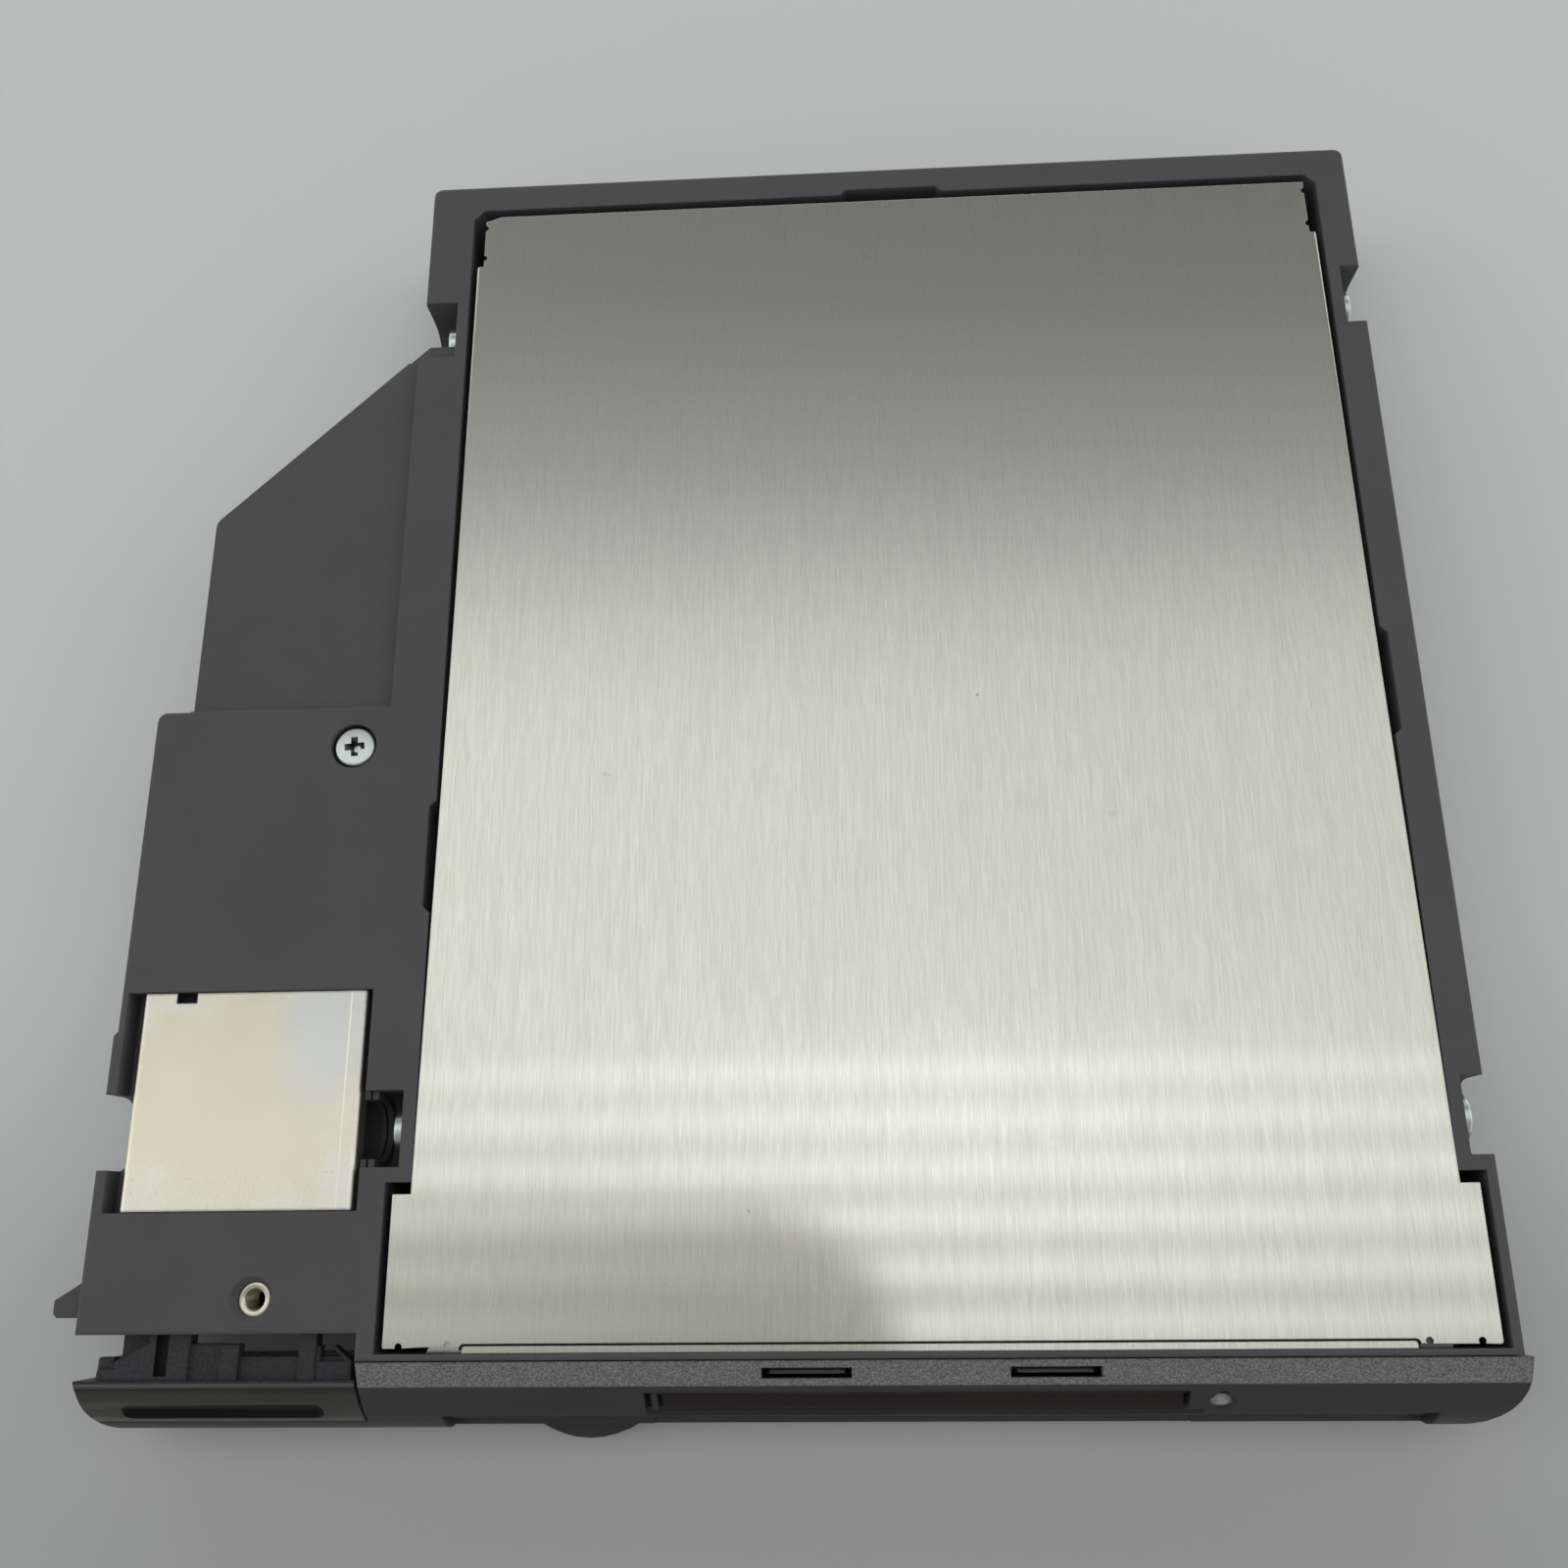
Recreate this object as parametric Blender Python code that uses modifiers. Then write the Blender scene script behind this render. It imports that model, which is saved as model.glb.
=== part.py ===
"""Laptop floppy drive module, lying with its brushed cover plate up.

Lengths are in metres. X runs across the module from the latch side to the plain side, Y runs
from the front bezel to the docking connector, and Z runs up from the face it rests on.
Sizes are given from the drive's centre line, the front edge of the cover plate and the rest face.
"""

import math

import bmesh
import bpy
from mathutils import Matrix, Vector

# Whole module
module_height = 0.0145
gap = 0.0003
edge_round = 0.0003

# Cover plate, one folded sheet that closes the drive
plate_depth = 0.1234
plate_wing_step = 0.00225
plate_wing_depth = 0.0132
plate_sheet = 0.0006
plate_flange = 0.0056
plate_corner_cut = 0.0009
plate_corner_length = 0.0068
plate_lip_inset = 0.0050
plate_lip = 0.0007
plate_groove = 0.00018
plate_notch_radius = 0.00035

# Bay that holds the drive
bay_side_gap = 0.00055
bay_rear_gap = 0.0010
bay_wing_gap = 0.0008
bay_step_gap = 0.0011
bay_front = -0.0009
bay_chamfer = 0.0012
relief_depth = 0.0007
relief_length = 0.0118

# Carrier frame, seen from above
right_bar = 0.0035
rear_bar = 0.0034
left_bar = 0.00505
neck_wall = 0.0018
front_bar = 0.0006
outer_corner = 0.0010
wing_reach = 0.0271
wing_corner_y = 0.0852
wing_start_y = 0.1064
wing_foot_y = 0.0625
wing_drop = 0.0010
main_reach = 0.0305
jog = 0.0004
jog_y = 0.0290
block_front_y = 0.0009
carrier_wall = 0.0015
carrier_skin = 0.0016

# Pockets that let a driver reach the side screws
front_screw_y = 0.0193
rear_screw_rear = 0.0151
side_screw_depth = 0.0039
pocket_radius = 0.0036
pocket_wall = 0.0013
screw_head_radius = 0.0024
screw_head = 0.0013
screw_shank_radius = 0.0008
screw_hole_radius = 0.0011

# Shield cap in its pocket
shield_beside = 0.01695
shield_y = 0.02225
shield_width = 0.0226
shield_length = 0.0208
shield_height = 0.0022
shield_sheet = 0.0004
shield_notch = 0.0021
shield_notch_beside = 0.0069
shield_margin = 0.0006
shield_pocket = 0.0027

# Screw and threaded insert in the left block
wing_screw_beside = 0.0091
wing_screw_y = 0.0582
wing_screw_head_radius = 0.00205
wing_screw_bore = 0.00240
insert_beside = 0.0144
insert_y = 0.0039
insert_radius = 0.0014
insert_hole_radius = 0.0009
insert_length = 0.0045
insert_sunk = 0.0010
insert_dimple_radius = 0.0021
insert_dimple = 0.0005

# Lower cover
floor_sheet = 0.0012

# Bezel section, the curve that its front follows from the top edge down
bezel_back = -0.0016
band_drop_y = -0.0038
band_drop_z = 0.00155
bezel_front = -0.00807
bezel_belly = 0.0058
bezel_base_y = -0.0064
bezel_base_z = 0.0003
bezel_wall = 0.0013
bezel_beside = 0.0043
bezel_corner = 0.0058
bezel_corner_depth = 0.0046
split_beside = 0.0044
chin_top = 0.0089

# Disk slot, thumb scoop and the door behind them
slot_play = 0.0007
slot_low = 0.0044
slot_high = 0.0098
scoop_left = -0.0264
scoop_right = 0.0231
scoop_foot = 0.0245
scoop_foot_high = 0.0105
scoop_low = slot_low - 0.0003
scoop_high = 0.0123
door_left = -0.02495
door_right = 0.0228
cheek_sheet = 0.0006
door_recess = 0.0008
door_sheet = 0.0010
door_pin_y = -0.0043
door_pin_z = 0.01105
door_pin_radius = 0.0005

# Eject button, lamp and the slots that the carrier's tabs snap into
button_x = -0.0327
button_half = 0.0051
button_low = 0.0009
button_high = 0.0038
button_reach = 0.0013
lamp_x = 0.0260
lamp_z = 0.01135
lamp_radius = 0.00075
lamp_recess_half = 0.0016
snap_x = (-0.0114, 0.0111)
snap_half = 0.0041
snap_front = -0.0032
snap_back = -0.00225

# Release lever and latch hook
lever_beside = 0.0311
lever_corner = 0.0030
lever_back = -0.0032
lever_low = 0.0091
lever_wall = 0.0013
lever_groove_beside = 0.01775
lever_groove_half = 0.0088
lever_groove_z = 0.0107
lever_groove_radius = 0.0009
lever_arm_low = 0.0110
lever_arm_high = 0.0126
lever_travel = 0.0052
hook_travel = 0.0030
hook_beside = 0.0354
hook_low = 0.0075
hook_high = 0.0104
hook_front = 0.0022
hook_pin_radius = 0.0009
latch_spring_radius = 0.0013
latch_spring_wire = 0.00022

# Drive chassis and its lower sheet
cover_sheet = 0.0005
chassis_play = 0.0010
plate_play = 0.0014
chassis_wall = 0.0007
chassis_front = 0.0060
chassis_behind = 0.0124
chassis_deck = 0.0109
chassis_deck_sheet = 0.0008
chassis_low = 0.0034

# Disk cage and the slider that lifts it
disk_half = 0.0450
disk_side_play = 0.00025
cage_sheet = 0.0004
cage_floor = 0.0037
cage_floor_sheet = 0.0005
cage_inner_height = 0.0043
cage_lip = 0.0030
cage_behind = 0.0274
cage_lift = 0.0017
cage_pin_radius = 0.0008
cage_pin_y = (0.0300, 0.0780)
cage_pin_z = 0.0070
slider_floor = 0.0026
slider_sheet = 0.0005
slider_travel = 0.0035
slider_wing = 0.00035

# Spindle motor
spindle_y = 0.0430
rotor_radius = 0.0213
rotor_low = 0.0095
hub_radius = 0.0125
hub_pin_radius = 0.0020
stator_radius = 0.0184
stator_poles = 12
motor_base_low = 0.0120
motor_base_half = 0.0228
motor_base_sheet = 0.0008
bushing_radius = 0.0028
shaft_radius = 0.0013

# Head carriage, its rod, its lead screw and the stepper motor
head_y = 0.0826
head_travel = 0.0156
carriage_low = 0.0102
carriage_high = 0.0118
head_size = 0.0030
rod_x = 0.0130
rod_radius = 0.0009
rail_z = 0.0110
bush_outer = 0.0018
screw_x = -0.0185
lead_radius = 0.0008
stepper_half = 0.0055
stepper_length = 0.0120
stepper_front = 0.0158
arm_pivot_front = 0.0041
arm_low = 0.0024
arm_sheet = 0.0010

# Shutter lever
shutter_pivot_x = -0.0340
shutter_pivot_y = 0.0920
shutter_arm = 0.0240
shutter_rest_angle = math.radians(-60)
shutter_swing = math.radians(50)

# Boards and docking connector
board_low = 0.0120
board_sheet = 0.0008
dock_x = 0.0230
dock_half = 0.0190
dock_low = 0.0045
dock_high = 0.0096
dock_depth = 0.0075
dock_contacts = 20
dock_board_low = 0.0104
dock_board_margin = 0.0080
board_front = 0.0080
board_margin = 0.00265

# Places worked out from the sizes above
cage_half = disk_half + disk_side_play + cage_sheet
chassis_half = cage_half + chassis_play
plate_half = chassis_half + plate_play
plate_wing_half = plate_half + plate_wing_step
plate_lip_half = plate_half - plate_lip_inset
rear_screw_y = plate_depth - rear_screw_rear
chassis_rear = plate_depth - chassis_behind
cage_rear = plate_depth - cage_behind
stepper_y = chassis_rear - stepper_front
arm_pivot_y = chassis_rear - arm_pivot_front
slot_half = disk_half + slot_play
bay_half = plate_half + bay_side_gap
shield_x = -(bay_half + shield_beside)
shield_notch_x = shield_x - shield_notch_beside
wing_screw_x = -(bay_half + wing_screw_beside)
insert_x = -(bay_half + insert_beside)
split_x = -(bay_half + split_beside)
lever_left = -(bay_half + lever_beside)
lever_groove_x = -(bay_half + lever_groove_beside)
hook_tip = -(bay_half + hook_beside)
bezel_right = bay_half + bezel_beside
bay_wing_half = plate_wing_half + bay_wing_gap
bay_rear = plate_depth + bay_rear_gap
bay_step = plate_wing_depth + bay_step_gap
right_edge = bay_half + right_bar
rear_edge = bay_rear + rear_bar
left_edge = -(bay_half + left_bar)
neck_edge = -(bay_wing_half + neck_wall)
wing_edge = -(bay_half + wing_reach)
main_edge = -(bay_half + main_reach)
block_edge = main_edge - jog
pocket_x = bay_half + pocket_wall
side_screw_z = module_height - side_screw_depth
plate_low = module_height - plate_sheet
cover_low = floor_sheet + gap
disk_low = cage_floor + cage_floor_sheet
cage_lip_low = disk_low + cage_inner_height
frame_low = floor_sheet + gap
rail_front = head_y - head_travel + 0.0001
origin_x = (hook_tip + bezel_right) / 2
origin_y = (bezel_front - button_reach + rear_edge) / 2


# Scene and materials
def clear_scene():
    for item in list(bpy.data.objects):
        bpy.data.objects.remove(item, do_unlink=True)


def new_collection(name):
    group = bpy.data.collections.new(name)
    bpy.context.scene.collection.children.link(group)
    return group


def make_material(name, color, roughness, metallic):
    material = bpy.data.materials.new(name)
    material.use_nodes = True
    shader = material.node_tree.nodes["Principled BSDF"]
    shader.inputs["Base Color"].default_value = (*color, 1.0)
    shader.inputs["Roughness"].default_value = roughness
    shader.inputs["Metallic"].default_value = metallic
    return material


clear_scene()
parts = new_collection("laptop_floppy_drive_module")
cutters = new_collection("cutters")

moulded_dark = make_material("moulded_dark", (0.067, 0.066, 0.070), 0.62, 0.0)
bezel_paint = make_material("bezel_paint", (0.056, 0.054, 0.056), 0.48, 0.0)
door_plastic = make_material("door_plastic", (0.026, 0.020, 0.019), 0.55, 0.0)
black_plastic = make_material("black_plastic", (0.012, 0.012, 0.013), 0.50, 0.0)
white_plastic = make_material("white_plastic", (0.62, 0.60, 0.55), 0.45, 0.0)
clear_lens = make_material("clear_lens", (0.72, 0.74, 0.74), 0.15, 0.0)
brushed_sheet = make_material("brushed_sheet", (0.60, 0.59, 0.56), 0.34, 1.0)
tin_sheet = make_material("tin_sheet", (0.66, 0.62, 0.54), 0.30, 1.0)
zinc_steel = make_material("zinc_steel", (0.62, 0.64, 0.66), 0.32, 1.0)
nickel_metal = make_material("nickel_metal", (0.62, 0.58, 0.50), 0.28, 1.0)
spring_steel = make_material("spring_steel", (0.45, 0.45, 0.46), 0.30, 1.0)
cast_metal = make_material("cast_metal", (0.42, 0.43, 0.44), 0.50, 1.0)
copper_wire = make_material("copper_wire", (0.55, 0.24, 0.10), 0.40, 1.0)
gold_plate = make_material("gold_plate", (0.75, 0.52, 0.20), 0.28, 1.0)
board_green = make_material("board_green", (0.020, 0.110, 0.045), 0.45, 0.0)


# Outlines
def rounded(points, steps=4):
    """Replace each corner given as (x, y, radius) by an arc; (x, y) stays sharp."""
    outline = []
    for index, point in enumerate(points):
        corner = Vector(point[:2])
        radius = point[2] if len(point) > 2 else 0.0
        if radius == 0.0:
            outline.append(tuple(corner))
            continue
        before = (Vector(points[index - 1][:2]) - corner).normalized()
        after = (Vector(points[(index + 1) % len(points)][:2]) - corner).normalized()
        half_angle = before.angle(after) / 2
        center = corner + (before + after).normalized() * (radius / math.sin(half_angle))
        start = corner + before * (radius / math.tan(half_angle)) - center
        end = corner + after * (radius / math.tan(half_angle)) - center
        turn = start.angle_signed(end)
        for step in range(steps + 1):
            spoke = start.copy()
            spoke.rotate(Matrix.Rotation(-turn * step / steps, 2))
            outline.append(tuple(center + spoke))
    return outline


def rectangle(left, right, front, rear):
    return [(left, front), (right, front), (right, rear), (left, rear)]


def circle(x, y, radius, steps=24):
    turns = [2 * math.pi * step / steps for step in range(steps)]
    return [(x + radius * math.cos(turn), y + radius * math.sin(turn)) for turn in turns]


def capsule(x1, y1, x2, y2, radius, steps=6):
    """A slot's outline: two half circles joined by straight sides."""
    heading = math.atan2(y2 - y1, x2 - x1)
    outline = []
    for x, y, start in ((x1, y1, heading + math.pi / 2), (x2, y2, heading - math.pi / 2)):
        for step in range(steps + 1):
            turn = start + math.pi * step / steps
            outline.append((x + radius * math.cos(turn), y + radius * math.sin(turn)))
    return outline


def bezier(start, pull_start, pull_end, end, steps):
    """Points along a cubic curve, without its first one."""
    points = []
    for step in range(1, steps + 1):
        t = step / steps
        weights = ((1 - t) ** 3, 3 * t * (1 - t) ** 2, 3 * t * t * (1 - t), t ** 3)
        corners = (start, pull_start, pull_end, end)
        points.append(tuple(sum(w * c[axis] for w, c in zip(weights, corners)) for axis in (0, 1)))
    return points


# Solids
def add_solid(name, mesh, material):
    solid = bpy.data.objects.new(name, mesh)
    mesh.name = name
    mesh.shade_smooth()
    mesh.set_sharp_from_angle(angle=math.radians(32))
    mesh.materials.clear()
    if material:
        mesh.materials.append(material)
    parts.objects.link(solid)
    return solid


def extruded(name, loops, low, high, material=None, axis="Z", edge=0.0):
    """Extrude flat outlines. Their plane is XY for axis Z, YZ for axis X and XZ for axis Y."""
    curve = bpy.data.curves.new(name, "CURVE")
    curve.dimensions = "2D"
    curve.fill_mode = "BOTH"
    curve.extrude = (high - low) / 2 - edge
    curve.bevel_depth = edge
    curve.bevel_resolution = 1
    curve.offset = -edge
    for loop in loops:
        spline = curve.splines.new("POLY")
        spline.points.add(len(loop) - 1)
        for point, place in zip(spline.points, loop):
            point.co = (place[0], place[1], 0.0, 1.0)
        spline.use_cyclic_u = True
    shape = bpy.data.objects.new(name, curve)
    bpy.context.scene.collection.objects.link(shape)
    middle = (low + high) / 2
    turns = {
        "Z": Matrix.Translation((0, 0, middle)),
        "X": Matrix(((0, 0, 1, middle), (1, 0, 0, 0), (0, 1, 0, 0), (0, 0, 0, 1))),
        "Y": Matrix(((1, 0, 0, 0), (0, 0, -1, middle), (0, 1, 0, 0), (0, 0, 0, 1))),
    }
    shape.matrix_world = turns[axis]
    bpy.context.view_layer.update()
    depsgraph = bpy.context.evaluated_depsgraph_get()
    mesh = bpy.data.meshes.new_from_object(shape.evaluated_get(depsgraph))
    bm = bmesh.new()
    bm.from_mesh(mesh)
    bmesh.ops.remove_doubles(bm, verts=bm.verts, dist=0.000001)
    bmesh.ops.transform(bm, matrix=shape.matrix_world, verts=bm.verts)
    bm.to_mesh(mesh)
    bm.free()
    bpy.data.objects.remove(shape, do_unlink=True)
    return add_solid(name, mesh, material)


def box(name, x, y, z, material=None):
    """A block between the two limits given for each axis."""
    bm = bmesh.new()
    bmesh.ops.create_cube(bm, size=1.0)
    size = Vector((x[1] - x[0], y[1] - y[0], z[1] - z[0]))
    middle = Vector((x[0] + x[1], y[0] + y[1], z[0] + z[1])) / 2
    bmesh.ops.scale(bm, vec=size, verts=bm.verts)
    bmesh.ops.translate(bm, vec=middle, verts=bm.verts)
    mesh = bpy.data.meshes.new(name)
    bm.to_mesh(mesh)
    bm.free()
    return add_solid(name, mesh, material)


def cylinder(name, center, radius, length, axis="Z", material=None, sides=24):
    """A round bar whose middle is at center."""
    bm = bmesh.new()
    bmesh.ops.create_cone(
        bm, cap_ends=True, segments=sides, radius1=radius, radius2=radius, depth=length)
    turns = {
        "Z": Matrix.Identity(4),
        "X": Matrix.Rotation(math.pi / 2, 4, "Y"),
        "Y": Matrix.Rotation(-math.pi / 2, 4, "X"),
    }
    bmesh.ops.transform(bm, matrix=Matrix.Translation(center) @ turns[axis], verts=bm.verts)
    mesh = bpy.data.meshes.new(name)
    bm.to_mesh(mesh)
    bm.free()
    return add_solid(name, mesh, material)


def turned(name, profile, center, axis="Z", material=None, sides=24):
    """Revolve (radius, height) points, given from the top of the axis to its bottom."""
    bm = bmesh.new()
    points = [bm.verts.new((radius, 0.0, height)) for radius, height in profile]
    for first, second in zip(points, points[1:]):
        bm.edges.new((first, second))
    mesh = bpy.data.meshes.new(name)
    bm.to_mesh(mesh)
    bm.free()
    solid = add_solid(name, mesh, material)
    screw = solid.modifiers.new("turn", "SCREW")
    screw.steps = sides
    screw.render_steps = sides
    screw.use_merge_vertices = True
    screw.merge_threshold = 0.00001
    screw.use_smooth_shade = True
    turns = {"Z": (0, 0, 0), "X": (0, math.pi / 2, 0), "-X": (0, -math.pi / 2, 0),
             "-Y": (math.pi / 2, 0, 0)}
    solid.location = center
    solid.rotation_euler = turns[axis]
    return solid


def coil(name, start, direction, length, radius, wire, turns, material):
    """A coil spring between two points on a line along X or Y."""
    steps = 9
    along = Vector(direction)
    side = Vector((0, 0, 1))
    other = along.cross(side)
    curve = bpy.data.curves.new(name, "CURVE")
    curve.dimensions = "3D"
    curve.bevel_depth = wire
    curve.bevel_resolution = 0
    curve.use_fill_caps = True
    spline = curve.splines.new("POLY")
    count = turns * steps
    spline.points.add(count)
    for index, point in enumerate(spline.points):
        angle = 2 * math.pi * index / steps
        place = along * (length * index / count)
        place += (side * math.cos(angle) + other * math.sin(angle)) * (radius - wire)
        point.co = (*place, 1.0)
    spring = bpy.data.objects.new(name, curve)
    spring.location = start
    curve.materials.append(material)
    parts.objects.link(spring)
    return spring


def set_origin(item, place):
    """Move an object's origin, such as onto its joint's axis, without moving its mesh."""
    shift = Vector(place)
    item.data.transform(Matrix.Translation(-shift))
    item.location = shift
    return item


def boolean(target, tool, operation):
    """Add a live boolean to target and put its tool away with the cutters."""
    modifier = target.modifiers.new(tool.name, "BOOLEAN")
    modifier.operation = operation
    modifier.solver = "EXACT"
    modifier.object = tool
    tool.name = f"{target.name}-{tool.name}"
    tool.hide_render = True
    tool.display_type = "WIRE"
    parts.objects.unlink(tool)
    cutters.objects.link(tool)


def cut(target, *tools):
    for tool in tools:
        boolean(target, tool, "DIFFERENCE")


def join(target, *pieces):
    for piece in pieces:
        boolean(target, piece, "UNION")


def keep(target, tool):
    boolean(target, tool, "INTERSECT")


# Carrier frame and the cover under it
def carrier_outline():
    return rounded([
        (right_edge, bay_front - front_bar),
        (right_edge, rear_edge, outer_corner),
        (left_edge, rear_edge, outer_corner),
        (left_edge, wing_start_y),
        (wing_edge, wing_corner_y, 0.0015),
        (wing_edge, wing_foot_y),
        (main_edge, wing_foot_y, outer_corner),
        (main_edge, jog_y),
        (block_edge, jog_y - jog),
        (block_edge, block_front_y),
        (neck_edge, block_front_y),
        (neck_edge, bay_front - front_bar),
    ])


def bay_outline():
    """The drive's bay: narrow behind, wider in front, with cut corners and three reliefs."""
    half = bay_half
    deep = bay_half + relief_depth
    right_relief = 0.0565
    left_relief = 0.0403
    rear_relief = -0.0057
    return [
        (-bay_wing_half, bay_front),
        (bay_wing_half, bay_front),
        (bay_wing_half, bay_step),
        (half, bay_step),
        (half, right_relief),
        (deep, right_relief + relief_depth),
        (deep, right_relief + relief_length - relief_depth),
        (half, right_relief + relief_length),
        (half, bay_rear - bay_chamfer),
        (half - bay_chamfer, bay_rear),
        (rear_relief + relief_length, bay_rear),
        (rear_relief + relief_length - relief_depth, bay_rear + relief_depth),
        (rear_relief + relief_depth, bay_rear + relief_depth),
        (rear_relief, bay_rear),
        (bay_chamfer - half, bay_rear),
        (-half, bay_rear - bay_chamfer),
        (-half, left_relief + relief_length),
        (-deep, left_relief + relief_length - relief_depth),
        (-deep, left_relief + relief_depth),
        (-half, left_relief),
        (-half, bay_step),
        (-bay_wing_half, bay_step),
    ]


def screw_pocket(name, inner, outer, y, radius=pocket_radius):
    """A slot open at the top with a round bottom, cut along X around a side screw."""
    top = module_height + 0.002
    section = [(y + radius, top), (y - radius, top)]
    for step in range(13):
        turn = math.pi + math.pi * step / 12
        section.append((y + radius * math.cos(turn), side_screw_z + radius * math.sin(turn)))
    return extruded(name, [section], min(inner, outer), max(inner, outer), axis="X")


def build_carrier_frame():
    frame = extruded("carrier_frame", [carrier_outline()], frame_low, module_height,
                     moulded_dark, edge=edge_round)
    cut(frame, extruded("bay", [bay_outline()], 0.0, module_height + 0.001))
    # Lowered face of the wing, with its sloping border
    wing_inner = neck_edge - 0.0012
    lowered = extruded("wing_step", [[
        (wing_edge - 0.003, wing_foot_y),
        (wing_inner, wing_foot_y),
        (wing_inner, 0.1010),
        (left_edge - 0.0002, 0.1080),
        (wing_edge - 0.003, 0.1080),
    ]], module_height - wing_drop, module_height + 0.001)
    cut(frame, lowered)
    # Cells cored out from below
    skin_low = module_height - carrier_skin
    wall = carrier_wall
    inner_x = -(bay_half + wall)
    cells = (
        ([(left_edge - 0.001, wing_start_y - 0.0040), (wing_edge + wall, wing_corner_y - 0.0010),
          (wing_edge + wall, wing_foot_y + wall), (inner_x, wing_foot_y + wall),
          (inner_x, wing_start_y - 0.0040)], skin_low - wing_drop),
        (rectangle(main_edge + wall, inner_x, shield_y + 0.0125, wing_foot_y - wall / 2), skin_low),
        (rectangle(main_edge + wall, inner_x - 0.002, front_screw_y + pocket_radius + wall,
                   shield_y + 0.0095), module_height - shield_pocket - carrier_skin),
        (rectangle(main_edge + wall, inner_x - 0.002, shield_y - 0.0093,
                   front_screw_y + pocket_radius), side_screw_z - pocket_radius - wall),
    )
    for number, (outline, ceiling) in enumerate(cells):
        cut(frame, extruded(f"cell_{number}", [outline], 0.0, ceiling))
    # Hollow of the front block, open towards the lever
    cut(frame, box("latch_hollow", (block_edge + wall, neck_edge - wall),
                   (block_front_y - 0.002, shield_y - 0.0113), (0.0, skin_low)))
    # Pocket for the shield, and the way through it to the front screw
    half_w = shield_width / 2 + shield_margin
    half_l = shield_length / 2 + 0.0001
    cut(frame, box("shield_pocket", (shield_x - half_w - 0.0009, shield_x + half_w),
                   (shield_y - half_l, shield_y + half_l),
                   (module_height - shield_pocket, module_height + 0.001)))
    cut(frame, screw_pocket("driver_way", block_edge - 0.002, -pocket_x, front_screw_y))
    # Two ribs with round openings beside the shield, which guide the driver
    for number, beside in enumerate((0.0041, 0.0049)):
        low = -(bay_half + beside)
        rib = box(f"guide_rib_{number}", (low - 0.0006, low),
                  (front_screw_y - pocket_radius - 0.0005, front_screw_y + pocket_radius + 0.0005),
                  (side_screw_z - pocket_radius - 0.0005, module_height - 0.0012))
        cut(rib, screw_pocket(f"guide_opening_{number}", low - 0.002, low + 0.001, front_screw_y,
                              pocket_radius - 0.0008))
        join(frame, rib)
    cut(frame, screw_pocket("rear_left_pocket", left_edge - 0.004, -pocket_x, rear_screw_y))
    pocket_front = rear_screw_y - pocket_radius
    join(frame, extruded("pocket_ledge", [[
        (-pocket_x + 0.0005, pocket_front - 0.0005), (-pocket_x + 0.0005, pocket_front + 0.0020),
        (left_edge + 0.0006, pocket_front + 0.0020), (left_edge - 0.0014, pocket_front + 0.0001),
        (left_edge - 0.0014, pocket_front - 0.0005)]],
        module_height - wing_drop - 0.0006, module_height - wing_drop))
    cut(frame, screw_pocket("front_right_pocket", pocket_x, right_edge + 0.002, front_screw_y))
    cut(frame, screw_pocket("rear_right_pocket", pocket_x, right_edge + 0.002, rear_screw_y))
    for side in (-1, 1):
        for y in (front_screw_y, rear_screw_y):
            cut(frame, cylinder(f"screw_hole_{side}_{y}", (side * bay_half, y, side_screw_z),
                                screw_hole_radius, 0.006, "X", sides=16))
    # Window for the docking connector
    cut(frame, box("dock_window", (dock_x - dock_half - gap, dock_x + dock_half + gap),
                   (bay_rear - 0.001, rear_edge + 0.001), (dock_low - gap, dock_high + gap)))
    # Way for the disk under the front bar
    cut(frame, box("disk_way", (-bay_wing_half + 0.0002, bay_wing_half - 0.0002),
                   (bay_front - front_bar - 0.001, bay_front + 0.001), (0.0, 0.0113)))
    # Window in the left wall for the latch hook
    cut(frame, box("hook_window", (block_edge - 0.001, block_edge + wall + 0.001),
                   (hook_front - gap, hook_front + 0.0042 + gap), (hook_low - gap, hook_high + gap)))
    # Bosses for the wing screw and the threaded insert
    boss_low = frame_low
    join(frame, cylinder("wing_boss", (wing_screw_x, wing_screw_y,
                                       (boss_low + skin_low + 0.0005) / 2),
                         0.0036, skin_low + 0.0005 - boss_low))
    cut(frame, cylinder("wing_bore", (wing_screw_x, wing_screw_y, module_height),
                        wing_screw_bore, 0.0024))
    cut(frame, cylinder("wing_hole", (wing_screw_x, wing_screw_y, 0.008), 0.00135, 0.016))
    insert_boss = insert_length + 0.0008
    join(frame, cylinder("insert_boss", (insert_x, insert_y,
                                         module_height - insert_boss / 2 - 0.0005),
                         0.0025, insert_boss))
    bore_low = module_height - insert_length - 0.0003
    seat = insert_radius + gap / 2
    cut(frame, turned("insert_bore", [
        (0, module_height + 0.001), (insert_dimple_radius, module_height + 0.001),
        (insert_dimple_radius, module_height), (seat + gap / 2, module_height - insert_dimple),
        (seat, module_height - insert_dimple - 0.0001), (seat, bore_low), (0, bore_low)],
        (insert_x, insert_y, 0), sides=32))
    # Snap tabs on the front bar
    for number, x in enumerate(snap_x):
        join(frame, box(f"tongue_{number}", (x - snap_half + 0.0006, x + snap_half - 0.0006),
                        (snap_front + 0.0003, bay_front - front_bar / 2), (0.0114, 0.0119)))
        join(frame, box(f"snap_{number}", (x - snap_half + 0.0007, x + snap_half - 0.0007),
                        (snap_front + 0.00035, snap_back - 0.0003), (0.0116, 0.0127)))
    return frame


def build_lower_cover():
    cover = extruded("lower_cover", [carrier_outline()], 0.0, floor_sheet, moulded_dark,
                     edge=edge_round)
    cut(cover, cylinder("screw_pilot", (wing_screw_x, wing_screw_y, 0.0), 0.00105, 0.004))
    return cover


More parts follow.
